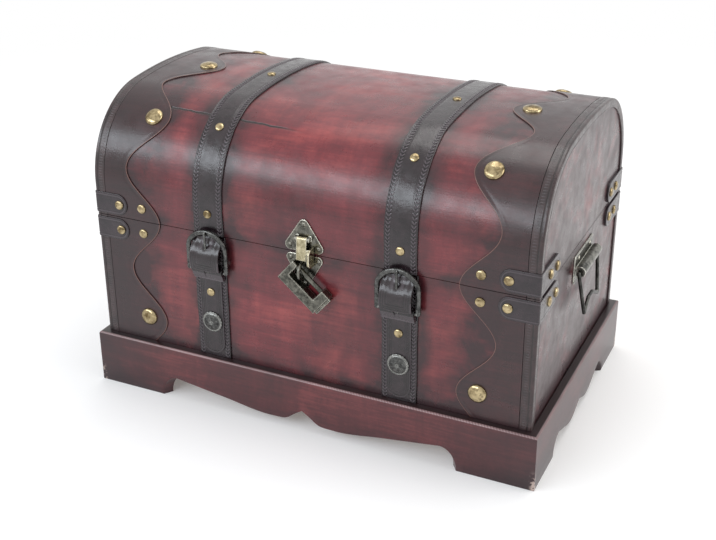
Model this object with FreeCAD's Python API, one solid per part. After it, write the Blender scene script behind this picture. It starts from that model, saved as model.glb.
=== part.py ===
import FreeCAD
import Part
import math
import os

V = FreeCAD.Vector

# ---------------------------------------------------------------------------
# A small dome-lidded sea chest: wooden boards covered in leather, on a bracket
# plinth.  +X is to the right, +Y is to the back, +Z is up.  The origin is on
# the floor, under the middle of the chest.  All sizes are in millimetres.
# ---------------------------------------------------------------------------

# Plinth
plinthLength = 440.0
plinthDepth = 274.0
plinthHeight = 53.0
plinthBoard = 8.0
frontFoot = 70.0            # length of a bracket foot, along the front
sideFoot = 55.0             # the same, along a side
frontNotch = 20.5           # height of the notch in the middle of the front apron
sideNotch = 13.0
frontSag = 8.0              # lowest point of the front apron
sideSag = 5.5
frontRise = 21.0            # apron height beside a front foot
sideRise = 17.0
notchHalf = 24.0            # half the width of the notch
footCurve = 16.0            # length of the quarter curve beside a foot
blockSide = 30.0
blockHeight = 20.0

# Case and lid, measured over the leather edge binding
plinthFitEnd = 0.9          # between the leather of an end and the inside of the plinth
plinthFitFront = 0.4        # the same at the front and the back
seamHeight = 176.0          # where the lid meets the case
seamGap = 0.6
lidUpright = 31.0           # upright part of the lid's front, above the seam
chestHeight = 290.0
crownRise = 3.0             # how much more the dome rises than its shoulders' radius

# Boards and leather
caseBoard = 9.0
bottomBoard = 6.0
caseSink = 15.0             # how far the case reaches down inside the plinth
lidBoard = 7.0
lidEndBoard = 9.0
coverThick = 1.0
bindingThick = 1.4          # binding, over the cover
overlayThick = 1.2
liningThick = 0.8
bindingFace = 9.5           # width of the binding on the front and on the dome
bindingEnd = 6.5            # width of the binding on an end
fitGap = 0.3                # between leather edges that lie side by side

# Wavy leather overlays at both ends of the front and the dome
waveInset = 51.5            # middle of the wavy edge, in from the end of the chest
waveSwing = 16.5
wavePitch = 100.0

# Straps and buckles
strapX = 92.5
lidStrapWidth = 30.0
caseStrapWidth = 33.0
strapThick = 1.7
chapeWidth = 23.0
chapeThick = 1.6
chapeFoot = 3.5             # rounded lower end of the chape, above the plinth
foldSide = 1.0              # between the chape's fold and the frame's side bars
foldReach = 9.5             # lower edge of the fold, below the heel bar
heelDrop = 33.0             # axis of the buckle's heel bar, below the seam
heelOut = 4.4               # heel bar's axis, out from the case strap
heelRadius = 1.6
ringWall = 1.2              # wall of the prong's ring and room round the heel bar
runGap = 0.06
frameHalf = 21.0
frameBar = 4.5
frameThick = 3.2
frameOver = 6.0             # top of the frame, above the seam
frameArch = 15.0            # height of the frame's arched end
tailHalf = 14.8
tailThick = 1.8
tailTuck = 0.4              # between the strap's face and the tail's upper end
tailGap = 1.6               # between the prong's ring and the tail
tailSwell = 1.6             # how much more the tail stands out above the heel bar
tailLift = 1.5              # lower end of the tail, above the heel bar
tailFold = 15.5             # top of the tail's fold and foot of its slot, above the heel bar
prongRadius = 1.3
prongBend = 4.0             # bend of the prong, below the frame's top bar
prongGap = 0.05
prongSlot = 4.6
prongSide = 0.5             # between the prong's ring and a side of its slot

# Nails and studs
shankRadius = 1.0
shankLength = 6.0
headRim = 0.5               # straight edge of a head, below its dome
nailRadius = 4.0
nailHeight = 2.0
strapNailLow = 19.7         # lowest strap nails of the lid, along the lid from the seam
strapNailDrop = 56.2        # nail and concho of a chape, below the seam
conchoDrop = 86.3
largeStudRadius = 8.5
largeStudHeight = 4.0
smallStudRadius = 4.4
smallStudHeight = 2.2
seamStudOut = 2.0           # small stud on an overlay, out from the middle of the wave
caseStudOut = 3.0           # large stud on the case, out from the middle of the wave
caseStudLift = 2.0          # the same, up from the wave's crest
conchoRadius = 10.0
conchoHeight = 3.4

# Corner tabs
tabWidth = 34.0             # measured from the corner
tabHeight = 20.5
tabThick = 1.0
tabSeam = 2.0               # from the seam to a tab
tabEndReach = 52.0          # reach of a tab on an end face
tabStudIn = 8.2             # stud on the front, in from the tab's tip
tabEndStudIn = 9.0          # outer stud on an end, in from the tab's tip
tabStudPair = 18.0          # from this one to the next, along the tab

# Hasp and padlock
haspX = 3.0
haspPlate = 1.2
haspLobe = 4.6
haspHoleX = 13.6
haspHoleTop = 27.0
haspHoleLow = 6.4
haspHoleUnder = 5.4
haspUnderIn = 0.4           # upper nails of the lower plate, in from those of the upper plate
haspUnderTrim = 0.5         # how much smaller the lobes of the lower plate are
haspFootGap = 3.2           # between the staple's lower leg and the lowest nail
haspPinRadius = 1.0
haspNailRadius = 2.0
haspNailHeight = 0.9
haspNailRim = 0.2
knuckleHeight = 14.6        # hasp pin, above the seam
knuckleGap = 0.4            # between the knuckle and the plate
knuckleRadius = 2.2
earWidth = 2.2
earGap = 0.2                # between an ear and the tongue's barrel
tongueWidth = 9.4
tongueThick = 1.8
tongueDrop = 4.0            # how far the tongue reaches below the seam
tongueLean = 2.0            # how far it leans out on its way down
cheekThick = 2.0
cheekX = 8.0
cheekReach = 10.5
cheekTop = 8.0
cheekDrop = 9.5
cheekGap = 0.6              # between the cheek and the plates
webLow = 1.0                # web between tongue and cheek, above the seam
webHigh = 6.0
webThick = 1.8
stapleRadius = 1.4
stapleInner = 5.5
stapleDrop = 14.5           # staple's middle, below the seam
stapleLeg = 4.8
stapleRoot = 3.0            # how deep a leg goes into the board
lockTilt = 40.5
lockHang = 0.4              # bolt's axis, out from the middle of the staple's bow
lockPostGap = 0.1           # left post, past the staple's opening
lockLeftPost = 6.0
lockOpen = 30.1             # between the two posts, along the bolt
lockRightPost = 8.5
lockBar = 10.2
lockSlot = 8.0
lockThick = 8.0
lockShoulder = 3.0
lockRound = 0.8             # rounding of the lock's corners, and of its front edges
lockEdge = 0.6
boltRadius = 2.2
boltGap = 0.08
boltCap = 2.6
capGap = 0.1                # between the cap and the right post
capFoot = 2.0               # the cap's lower end, above that of the body
capTop = 0.6                # its upper end, below the top of the post
capSide = 0.8               # its sides, in from those of the body
capRound = 0.5

# Side handles
handleY = 5.0
handleDrop = 22.0           # axis of the bail, below the seam
handleOut = 4.2             # axis of the bail, out from the plate
handlePlate = 1.5
handleEdge = 0.6            # chamfer round the plate
handlePlateHalf = 30.0
handlePlateRise = 14.0      # top of the plate, above the bail's axis
handlePlateFall = 13.0      # foot of the plate, below it
handleCorner = 3.5
handleNailRadius = 2.2
handleNailHeight = 0.9
handleNailSide = 18.0       # nails, from the middle of the plate
handleNailHigh = 9.0        # upper nails, above the bail's axis
handleNailLow = 8.8         # lower ones, below it
barrelHalf = 27.5           # barrel that holds the bail's pins
barrelRadius = 5.0
bailRadius = 1.7
bailPinRadius = 1.5
bailPinReach = 14.0         # how far each pin goes into the barrel
bailSide = 2.0              # between a bend and the barrel's end
bailDrop = 41.0
bailLean = 5.0              # its foot, out from the pins
bailTaper = 9.0             # its foot, in from the pins' bends
bailArchHalf = 6.0          # flat of the arch between its two feet
bailArchRise = 8.0

# Hinges
hingeStrapGap = 7.5         # between a hinge and the lid strap beside it
hingeWidth = 40.0
hingeLeaf = 26.0
hingeThick = 1.5
hingeBarrel = 3.4
hingeSeat = 0.6             # between the barrel and the leather
hingePinRadius = 1.6
hingeKnuckles = 5
knuckleSide = 0.15          # half the gap between two knuckles
leafGap = 0.5               # from the seam to a leaf
hingeScrewRadius = 2.4
hingeScrewHeight = 1.0

# Derived places
coverHalfX = plinthLength / 2 - plinthBoard - plinthFitEnd
coverHalfY = plinthDepth / 2 - plinthBoard - plinthFitFront
caseHalfX = coverHalfX + bindingThick
caseHalfY = coverHalfY + bindingThick
springHeight = seamHeight + lidUpright      # where the upright front turns into the dome
woodHalfX = coverHalfX - coverThick
woodHalfY = coverHalfY - coverThick
caseBase = plinthHeight - caseSink
caseTop = seamHeight - seamGap / 2
lidBase = seamHeight + seamGap / 2
coverInset = bindingThick
woodInset = bindingThick + coverThick
riseHeight = chestHeight - springHeight
shoulderRadius = riseHeight - crownRise
crownRadius = ((caseHalfY ** 2 + riseHeight ** 2 - 2 * caseHalfY * shoulderRadius)
               / (2 * (riseHeight - shoulderRadius)))
crownZ = chestHeight - crownRadius
shoulderY = caseHalfY - shoulderRadius
shoulderTurn = math.atan2(springHeight - crownZ, shoulderY)  # from level up to the crown
shoulderRun = shoulderRadius * shoulderTurn
crownRun = crownRadius * (math.pi - 2 * shoulderTurn)
lidRun = 2 * (lidUpright + shoulderRun) + crownRun           # seam to seam, over the dome
waveCentre = caseHalfX - waveInset
chapeTip = plinthHeight + chapeFoot
heelHeight = seamHeight - heelDrop
frameTop = seamHeight + frameOver
frameShoulder = frameTop - frameArch
hingeX = strapX - lidStrapWidth / 2 - hingeStrapGap - hingeWidth / 2
handleAxis = seamHeight - handleDrop
haspFoot = stapleDrop + stapleInner + 2 * stapleRadius + haspFootGap + haspNailRadius
lockLeft = stapleInner + lockPostGap + lockLeftPost          # ends of the lock body, from the
lockRight = lockOpen - stapleInner - lockPostGap + lockRightPost         # staple along the bolt


# --------------------------------------------------------------- helpers
def box(x0, x1, y0, y1, z0, z1):
    return Part.makeBox(x1 - x0, y1 - y0, z1 - z0, V(x0, y0, z0))


def join(shapes):
    return shapes[0].fuse(shapes[1:]).removeSplitter() if len(shapes) > 1 else shapes[0]


def prism(points, direction):
    wire = Part.makePolygon(points + [points[0]])
    return Part.Face(wire).extrude(direction)


def rounded(shape, radius, test):
    edges = [edge for edge in shape.Edges if test(edge)]
    return shape.makeFillet(radius, edges) if edges else shape


def mirrored(shape):
    return shape.mirror(V(0, 0, 0), V(1, 0, 0))


def along(edge, axis):
    first, last = edge.Vertexes[0].Point, edge.Vertexes[-1].Point
    span = last - first
    return span.Length > 1e-6 and abs(abs(span.normalize().dot(axis)) - 1) < 1e-6


def lidPoint(s, inset=0.0):
    """Point and outward normal, in Y and Z, s along the lid from the front seam."""
    if s > lidRun / 2:
        y, z, ny, nz = lidPoint(lidRun - s, inset)
        return -y, z, -ny, nz
    if s <= lidUpright:
        return -caseHalfY + inset, seamHeight + s, -1.0, 0.0
    if s <= lidUpright + shoulderRun:
        turn = (s - lidUpright) / shoulderRadius
        cy, cz, radius = -shoulderY, springHeight, shoulderRadius
    else:
        turn = shoulderTurn + (s - lidUpright - shoulderRun) / crownRadius
        cy, cz, radius = 0.0, crownZ, crownRadius
    ny, nz = -math.cos(turn), math.sin(turn)
    return cy + (radius - inset) * ny, cz + (radius - inset) * nz, ny, nz


def profileWire(inset, low, x):
    """Lid outline in a plane of constant X, open at the bottom."""
    half = caseHalfY - inset
    crownStart = lidUpright + shoulderRun

    def arc(*places):
        points = []
        for s in places:
            y, z, ny, nz = lidPoint(s, inset)
            points.append(V(x, y, z))
        return Part.Arc(*points).toShape()
    edges = []
    if low < springHeight:
        edges.append(Part.LineSegment(V(x, -half, low), V(x, -half, springHeight)).toShape())
    edges.append(arc(lidUpright, lidUpright + shoulderRun / 2, crownStart))
    edges.append(arc(crownStart, lidRun / 2, lidRun - crownStart))
    edges.append(arc(lidRun - crownStart, lidRun - lidUpright - shoulderRun / 2, lidRun - lidUpright))
    if low < springHeight:
        edges.append(Part.LineSegment(V(x, half, springHeight), V(x, half, low)).toShape())
    return edges


def lidSection(inset, low, x0, x1):
    """Everything inside the lid outline at one inset, above a level."""
    half = caseHalfY - inset
    edges = profileWire(inset, low, x0)
    edges.append(Part.LineSegment(V(x0, half, low), V(x0, -half, low)).toShape())
    return Part.Face(Part.Wire(edges)).extrude(V(x1 - x0, 0, 0))


def lidBand(outer, inner, low, x0, x1):
    """Sheet that follows the lid, from one inset to a deeper one."""
    solid = lidSection(outer, low, x0, x1)
    return solid.cut(lidSection(inner, low - 1, x0 - 1, x1 + 1))


def wave(s):
    return waveCentre - waveSwing * math.cos(2 * math.pi * s / wavePitch)


def headOn(place, normal, radius, height, rim=headRim):
    """Domed head seated on a surface, with its shank behind it."""
    cap = (radius ** 2 + (height - rim) ** 2) / (2 * (height - rim))
    ball = Part.makeSphere(cap, V(0, 0, height - cap))
    disc = Part.makeCylinder(radius, height, V(0, 0, 0))
    shank = Part.makeCylinder(shankRadius, shankLength, V(0, 0, -shankLength))
    head = join([disc.common(ball), shank])
    turn = FreeCAD.Rotation(V(0, 0, 1), normal)
    head.Placement = FreeCAD.Placement(place, turn)
    return head


def shankHole(place, normal):
    return Part.makeCylinder(shankRadius, shankLength + 6, place + normal * 6, normal * -1)


def smooth(points, periodic=False):
    curve = Part.BSplineCurve()
    curve.interpolate(points, PeriodicFlag=periodic)
    return curve.toShape()


# --------------------------------------------------------------- plinth
def apronLine(half, foot, notch, sag, rise, place):
    """Lower edge of an apron, from one foot to the other, mirrored about its middle."""
    inner = half - foot
    low = notchHalf * 1.25
    right = [(0, notch), (notchHalf * 0.3, (notch + sag) / 2 + 1.5), (notchHalf * 0.7, sag + 1.2),
             (low, sag), (low + (inner - footCurve - low) * 0.5, (sag + rise) / 2 - 0.5),
             (inner - footCurve, rise)]
    left = [(-a, b) for a, b in right[:0:-1]]
    middleLeft = smooth([place(a, b) for a, b in left + [right[0]]])
    middleRight = smooth([place(a, b) for a, b in right])
    edges = []
    for side in (-1, 1):
        start, end = place(side * (inner - footCurve), rise), place(side * inner, 0)
        middle = place(side * (inner - footCurve * 0.32), rise * 0.72)
        edges.append(Part.Arc(start, middle, end).toShape())
    return [edges[0], middleLeft, middleRight, edges[1]], inner


def plinthBoardSolid(half, foot, notch, sag, rise, place, out):
    edges, inner = apronLine(half, foot, notch, sag, rise, place)
    corners = [(inner, 0), (half, 0), (half, plinthHeight), (-half, plinthHeight), (-half, 0), (-inner, 0)]
    for a, b in zip(corners[:-1], corners[1:]):
        edges.append(Part.LineSegment(place(*a), place(*b)).toShape())
    return Part.Face(Part.Wire(Part.__sortEdges__(edges))).extrude(out)


def plinth():
    halfX, halfY = plinthLength / 2, plinthDepth / 2
    front = plinthBoardSolid(halfX, frontFoot, frontNotch, frontSag, frontRise,
                             lambda a, b: V(a, -halfY, b), V(0, plinthBoard, 0))
    side = plinthBoardSolid(halfY, sideFoot, sideNotch, sideSag, sideRise,
                            lambda a, b: V(halfX, a, b), V(-plinthBoard, 0, 0))
    # mitred corners: a wedge for each end of a board
    low, high = -1.0, plinthHeight + 2
    wedges = []
    for sx in (-1, 1):
        for sy in (-1, 1):
            corner = V(sx * (halfX + 1), sy * (halfY + 1), low)
            inside = V(sx * (halfX - plinthBoard - 1), sy * (halfY - plinthBoard - 1), low)
            wedges.append(prism([corner, inside, V(corner.x, inside.y - sy * 1, low)],
                                V(0, 0, high - low)))
    front = front.cut(wedges)
    inX, inY = halfX - plinthBoard - 1, halfY - plinthBoard - 1
    side = side.cut([prism([V(inX, sy * (halfY + 1), low), V(halfX + 1, sy * (halfY + 1), low),
                            V(inX, sy * inY, low)], V(0, 0, high - low)) for sy in (-1, 1)])
    parts = {"plinth_front_board": front,
             "plinth_back_board": front.mirror(V(0, 0, 0), V(0, 1, 0)),
             "plinth_right_board": side,
             "plinth_left_board": mirrored(side)}
    inX, inY = halfX - plinthBoard, halfY - plinthBoard
    blocks = []
    for sx in (-1, 1):
        for sy in (-1, 1):
            points = [V(sx * inX, sy * inY, caseBase - blockHeight),
                      V(sx * (inX - blockSide), sy * inY, caseBase - blockHeight),
                      V(sx * inX, sy * (inY - blockSide), caseBase - blockHeight)]
            blocks.append(prism(points, V(0, 0, blockHeight)))
    parts["plinth_corner_blocks"] = Part.makeCompound(blocks)
    return parts


# --------------------------------------------------------------- case
def case():
    base, top = caseBase, caseTop
    inX, inY = woodHalfX - caseBoard, woodHalfY - caseBoard
    floor = base + bottomBoard
    front = box(-woodHalfX, woodHalfX, -woodHalfY, -inY, base, top)
    side = box(inX, woodHalfX, -inY, inY, base, top)
    cover = box(-coverHalfX, coverHalfX, -coverHalfY, coverHalfY, base, top)
    cover = cover.cut(box(-woodHalfX, woodHalfX, -woodHalfY, woodHalfY, base - 1, top + 1))
    lining = box(-inX, inX, -inY, inY, floor, top - 1)
    lining = lining.cut(box(-inX + liningThick, inX - liningThick, -inY + liningThick,
                            inY - liningThick, floor + liningThick, top + 1))
    bindings = []
    for sx in (-1, 1):
        for sy in (-1, 1):
            face = box(0, bindingFace, -bindingThick, 0, plinthHeight + fitGap, top)
            end = box(-bindingThick, 0, -bindingThick, bindingEnd, plinthHeight + fitGap, top)
            strip = join([face, end])
            strip = rounded(strip, bindingThick * 0.8,
                            lambda e: along(e, V(0, 0, 1)) and e.Vertexes[0].Point.y < -bindingThick + 1e-6
                            and e.Vertexes[0].Point.x < -bindingThick + 1e-6)
            strip.translate(V(-coverHalfX, -coverHalfY, 0))
            strip = strip if sx < 0 else mirrored(strip)
            bindings.append(strip if sy < 0 else strip.mirror(V(0, 0, 0), V(0, 1, 0)))
    return {"case_front_board": front,
            "case_back_board": front.mirror(V(0, 0, 0), V(0, 1, 0)),
            "case_right_board": side,
            "case_left_board": mirrored(side),
            "case_bottom_board": box(-inX, inX, -inY, inY, base, floor),
            "case_leather_cover": cover,
            "case_lining": lining,
            "case_edge_bindings": Part.makeCompound(bindings)}


def caseOverlays():
    outer = caseHalfX - bindingThick - bindingFace - fitGap
    low, high = plinthHeight + fitGap, caseTop
    count = 24
    line = [V(wave(low - seamHeight + (high - low) * i / count), -coverHalfY,
              low + (high - low) * i / count) for i in range(count + 1)]
    edges = [smooth(line),
             Part.LineSegment(line[-1], V(outer, -coverHalfY, high)).toShape(),
             Part.LineSegment(V(outer, -coverHalfY, high), V(outer, -coverHalfY, low)).toShape(),
             Part.LineSegment(V(outer, -coverHalfY, low), line[0]).toShape()]
    right = Part.Face(Part.Wire(edges)).extrude(V(0, -overlayThick, 0))
    return {"case_overlays": Part.makeCompound([right, mirrored(right)])}


# --------------------------------------------------------------- lid
def lid():
    low = lidBase
    inner = woodInset + lidBoard
    half = caseHalfY - woodInset
    x1 = woodHalfX
    rail = box(-x1, x1, -half, -half + lidBoard, low, springHeight)
    dome = lidBand(woodInset, inner, springHeight, -x1, x1)
    end = lidSection(inner, low, x1 - lidEndBoard, x1)
    cover = lidBand(coverInset, woodInset, low, -coverHalfX, coverHalfX)
    endCover = lidSection(woodInset, low, x1, coverHalfX)
    liningShell = lidSection(inner, low + 1, -x1 + lidEndBoard, x1 - lidEndBoard)
    hollow = lidSection(inner + liningThick, low - 1, -x1 + lidEndBoard + liningThick,
                        x1 - lidEndBoard - liningThick)
    binding = lidBand(0, coverInset, low, coverHalfX - bindingFace, caseHalfX)
    endStrip = lidBand(0, coverInset + bindingEnd, low, coverHalfX, caseHalfX)
    binding = join([binding, endStrip])
    outline = [edge for edge in binding.Edges if abs(edge.CenterOfMass.x - caseHalfX) < 1e-6
               and onOutline(edge)]
    binding = binding.makeFillet(bindingThick * 0.8, outline)
    return {"lid_front_rail": rail,
            "lid_back_rail": rail.mirror(V(0, 0, 0), V(0, 1, 0)),
            "lid_dome_panel": dome,
            "lid_right_end": end,
            "lid_left_end": mirrored(end),
            "lid_leather_cover": cover,
            "lid_end_covers": Part.makeCompound([endCover, mirrored(endCover)]),
            "lid_lining": liningShell.cut(hollow),
            "lid_edge_bindings": Part.makeCompound([binding, mirrored(binding)])}


def onOutline(edge):
    """True for an edge on the lid's outermost outline, its open foot left out."""
    if abs(edge.BoundBox.ZMin - lidBase) < 1e-6 and edge.BoundBox.ZLength < 1e-6:
        return False
    p = edge.valueAt((edge.FirstParameter + edge.LastParameter) / 2)
    if p.z <= springHeight:
        return abs(abs(p.y) - caseHalfY) < 1e-3
    shoulder = math.hypot(abs(p.y) - shoulderY, p.z - springHeight)
    crown = math.hypot(p.y, p.z - crownZ)
    return abs(shoulder - shoulderRadius) < 1e-3 or abs(crown - crownRadius) < 1e-3


def lidOverlays():
    outer = caseHalfX - bindingThick - bindingFace - fitGap
    thick = overlayThick
    band = lidBand(coverInset - thick, coverInset, lidBase, 0, outer)
    # the waste inside the wavy line: a ruled strip across the sheet, swept to the middle
    start, end, count = -6.0, lidRun + 6.0, 96

    def rail(inset):
        points = []
        for i in range(count + 1):
            s = start + (end - start) * i / count
            clamped = min(max(s, 0.0), lidRun)
            y, z, ny, nz = lidPoint(clamped, inset)
            points.append(V(wave(s), y, z + (s - clamped if s < 0 else clamped - s)))
        return smooth(points)
    ruled = Part.makeRuledSurface(rail(coverInset - thick - 1), rail(coverInset + 1))
    waste = ruled.extrude(V(-waveCentre - waveSwing, 0, 0))
    right = band.cut(waste)
    solids = sorted(right.Solids, key=lambda piece: -piece.BoundBox.XMax)
    right = solids[0]
    return {"lid_overlays": Part.makeCompound([right, mirrored(right)])}


def lidStraps():
    width = lidStrapWidth / 2
    band = lidBand(coverInset - strapThick, coverInset, lidBase, strapX - width, strapX + width)
    return {"lid_strap_right": band, "lid_strap_left": mirrored(band)}


# --------------------------------------------------------------- case straps and buckles
def outlineFace(points, place):
    """Face in the XZ plane from corner points; a triple is the middle of an arc."""
    edges, i = [], 0
    closed = points + [points[0]]
    while i < len(closed) - 1:
        a = closed[i]
        if len(closed[i + 1]) == 3:
            m, b = closed[i + 1], closed[i + 2]
            edges.append(Part.Arc(place(a[0], a[1]), place(m[0], m[1]), place(b[0], b[1])).toShape())
            i += 2
        else:
            b = closed[i + 1]
            edges.append(Part.LineSegment(place(a[0], a[1]), place(b[0], b[1])).toShape())
            i += 1
    return Part.Face(Part.Wire(edges))


def frontPlane(y):
    return lambda a, b: V(a, y, b)


def caseStraps():
    half = caseStrapWidth / 2
    strap = box(strapX - half, strapX + half, -coverHalfY - strapThick, -coverHalfY,
                plinthHeight + fitGap, caseTop)
    return {"case_straps": Part.makeCompound([strap, mirrored(strap)])}


def buckles():
    strapY = -coverHalfY - strapThick
    chapeY = strapY - chapeThick
    axisY, axisZ = strapY - heelOut, heelHeight
    half = chapeWidth / 2
    bore = heelRadius + runGap
    loopRadius = bore + chapeThick
    # chape: strip with a rounded lower end, and a wider fold round the heel bar
    strip = outlineFace([(-half, chapeTip + half), (0, chapeTip, 0), (half, chapeTip + half),
                         (half, axisZ), (-half, axisZ)], frontPlane(strapY))
    strip = strip.extrude(V(0, -chapeThick, 0))
    foldHalf = frameHalf - frameBar - foldSide
    loop = Part.makeCylinder(loopRadius, 2 * foldHalf, V(-foldHalf, axisY, axisZ), V(1, 0, 0))
    footZ = axisZ - foldReach
    neck = prism([V(-foldHalf, strapY, footZ), V(-foldHalf, chapeY - chapeThick, footZ),
                  V(-foldHalf, axisY - loopRadius, axisZ), V(-foldHalf, strapY, axisZ)],
                 V(2 * foldHalf, 0, 0))
    hole = Part.makeCylinder(bore, 2 * foldHalf + 2, V(-foldHalf - 1, axisY, axisZ), V(1, 0, 0))
    slit = box(-prongSlot / 2, prongSlot / 2, axisY - loopRadius - 1, strapY + 1,
               axisZ - loopRadius - 1, axisZ + loopRadius + 1)
    slit = slit.common(Part.makeCylinder(loopRadius + ringWall, prongSlot, V(-prongSlot / 2, axisY, axisZ),
                                         V(1, 0, 0)))
    chape = join([strip, loop, neck]).cut([hole, slit])
    # frame: rounded horseshoe with its heel bar
    inner = frameHalf - frameBar
    outerFace = outlineFace([(-frameHalf, axisZ), (-frameHalf, frameShoulder), (0, frameTop, 0),
                             (frameHalf, frameShoulder), (frameHalf, axisZ)],
                            frontPlane(axisY - frameThick / 2))
    innerFace = outlineFace([(-inner, axisZ - 1), (-inner, frameShoulder), (0, frameTop - frameBar, 0),
                             (inner, frameShoulder), (inner, axisZ - 1)],
                            frontPlane(axisY - frameThick / 2 - 1))
    hoop = outerFace.extrude(V(0, frameThick, 0)).cut(innerFace.extrude(V(0, frameThick + 2, 0)))
    knobs = [Part.makeCylinder(frameThick / 2, frameBar, V(s - frameBar / 2, axisY, axisZ), V(1, 0, 0))
             for s in (-frameHalf + frameBar / 2, frameHalf - frameBar / 2)]
    heel = Part.makeCylinder(heelRadius, 2 * inner, V(-inner, axisY, axisZ), V(1, 0, 0))
    frame = join([hoop] + knobs + [heel])
    # prong: ring on the heel bar, shank, and a tip that lies on the top bar
    ringOuter = heelRadius + ringWall
    ringHalf = prongSlot / 2 - prongSide
    ring = Part.makeCylinder(ringOuter, 2 * ringHalf, V(-ringHalf, axisY, axisZ), V(1, 0, 0))
    tipZ = frameTop - frameBar * 0.35
    tipY = axisY - frameThick / 2 - prongRadius - prongGap
    bendZ = frameTop - frameBar - prongBend
    points = [V(0, axisY - ringOuter + prongRadius, axisZ + ringWall / 2), V(0, tipY, bendZ),
              V(0, tipY, tipZ)]
    rods = []
    for a, b in zip(points[:-1], points[1:]):
        rods.append(Part.makeCylinder(prongRadius, (b - a).Length, a, b - a))
        rods.append(Part.makeSphere(prongRadius, b))
    prong = join([ring] + rods).cut(Part.makeCylinder(heelRadius, prongSlot, V(-prongSlot / 2, axisY, axisZ),
                                                      V(1, 0, 0)))
    # tail: short leather end through the frame, bulging over the heel bar
    clear = axisY - ringOuter - tailGap
    topY = strapY - tailTuck
    swell = clear - tailSwell
    rise = caseTop - axisZ
    inside = [(topY, caseTop - tailTuck), (topY - 0.1, axisZ + rise * 0.778),
              (topY * 0.79 + swell * 0.21, axisZ + rise * 0.605), (swell * 0.97 + topY * 0.03, axisZ + tailFold),
              (swell, axisZ + rise * 0.26), (clear - tailSwell * 0.4, axisZ + rise * 0.13),
              (clear, axisZ + tailLift)]
    path = smooth([V(-tailHalf, y, z) for y, z in inside])
    outside = []
    for i in range(25):
        t = path.FirstParameter + (path.LastParameter - path.FirstParameter) * i / 24
        tangent = path.tangentAt(t)
        outside.append(path.valueAt(t) + V(0, tangent.z, -tangent.y).multiply(tailThick))
    over = smooth(outside)
    first = Part.LineSegment(path.valueAt(path.FirstParameter), outside[0]).toShape()
    last = Part.LineSegment(path.valueAt(path.LastParameter), outside[-1]).toShape()
    tail = Part.Face(Part.Wire([path, last, over, first])).extrude(V(2 * tailHalf, 0, 0))
    tail = tail.cut(box(-prongSlot / 2, prongSlot / 2, swell - tailThick - 1, strapY, axisZ + tailFold,
                        frameTop - frameBar + prongSide))
    parts = {}
    shift = V(strapX, 0, 0)
    chape = chape.translated(shift)
    tail = tail.translated(shift)
    parts["buckle_chapes"] = Part.makeCompound([chape, mirrored(chape)])
    parts["strap_tails"] = Part.makeCompound([tail, mirrored(tail)])
    for name, sign in (("left", -1), ("right", 1)):
        parts["buckle_frame_" + name] = frame.translated(shift * sign)
        parts["buckle_prong_" + name] = prong.translated(shift * sign)
    return parts


# --------------------------------------------------------------- corner tabs
def cornerTab(low, high):
    """D-shaped tab on the front, and a second one round the corner on the end."""
    y, x1 = -caseHalfY, caseHalfX
    middle, inset = (low + high) / 2, (high - low) * 0.42
    x0, y1 = caseHalfX - tabWidth, -caseHalfY + tabEndReach
    edge = x1 + tabThick
    front = outlineFace([(edge, low), (edge, high), (x0 + inset, high), (x0, middle, 0),
                         (x0 + inset, low)], frontPlane(y - tabThick))
    front = front.extrude(V(0, tabThick, 0))

    def leg(start, x, thick):
        face = outlineFace([(start, low), (start, high), (y1 - inset, high), (y1, middle, 0),
                            (y1 - inset, low)], lambda a, b: V(x, a, b))
        return face.extrude(V(thick, 0, 0))
    pad = leg(-coverHalfY + bindingEnd + fitGap, coverHalfX, bindingThick)
    return join([front, leg(y, x1, tabThick), pad])


def cornerTabs():
    parts = {}
    for name, low in (("case", seamHeight - tabSeam - tabHeight), ("lid", seamHeight + tabSeam)):
        tab = cornerTab(low, low + tabHeight)
        back = tab.mirror(V(0, 0, 0), V(0, 1, 0))
        parts[name + "_corner_tabs"] = Part.makeCompound([tab, mirrored(tab), back, mirrored(back)])
    return parts


# --------------------------------------------------------------- nails and studs
def fixings():
    """Place and outward normal of every nail and stud, by node name."""
    places = {"lid_studs_large": [], "lid_studs_small": [], "case_studs_large": [],
              "case_studs_small": [], "lid_strap_nails": [], "case_strap_nails": [], "conchos": []}

    def onLid(name, x, s, inset):
        y, z, ny, nz = lidPoint(s, inset)
        for sign in (-1, 1):
            places[name].append((V(sign * x, y, z), V(0, ny, nz)))
    top = coverInset - overlayThick
    strapTop = coverInset - strapThick
    for crest in (1, 2, 3):
        onLid("lid_studs_large", waveCentre, crest * wavePitch, top)
        onLid("lid_strap_nails", strapX, crest * wavePitch, strapTop)
    for s in (strapNailLow, lidRun - strapNailLow):
        onLid("lid_strap_nails", strapX, s, strapTop)
    studRise = tabSeam + tabHeight / 2
    inner, outer = waveCentre + seamStudOut, caseHalfX - tabWidth + tabStudIn
    reach = caseHalfY - tabEndReach + tabEndStudIn
    front = V(0, -1, 0)
    chapeY = -coverHalfY - strapThick - chapeThick
    for sign in (-1, 1):
        places["case_studs_large"].append((V(sign * (waveCentre + caseStudOut), -coverHalfY - overlayThick,
                                             seamHeight - wavePitch + caseStudLift), front))
        places["case_strap_nails"].append((V(sign * strapX, chapeY, seamHeight - strapNailDrop), front))
        places["conchos"].append((V(sign * strapX, chapeY, seamHeight - conchoDrop), front))
        for group, way in (("lid_studs_small", 1), ("case_studs_small", -1)):
            z = seamHeight + way * studRise
            places[group].append((V(sign * inner, -coverHalfY - overlayThick, z), front))
            for side in (-1, 1):
                places[group].append((V(sign * outer, side * (caseHalfY + tabThick), z), V(0, side, 0)))
                for offset in (0, tabStudPair):
                    places[group].append((V(sign * (caseHalfX + tabThick), side * (reach + offset), z),
                                          V(sign, 0, 0)))
    return places


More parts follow.
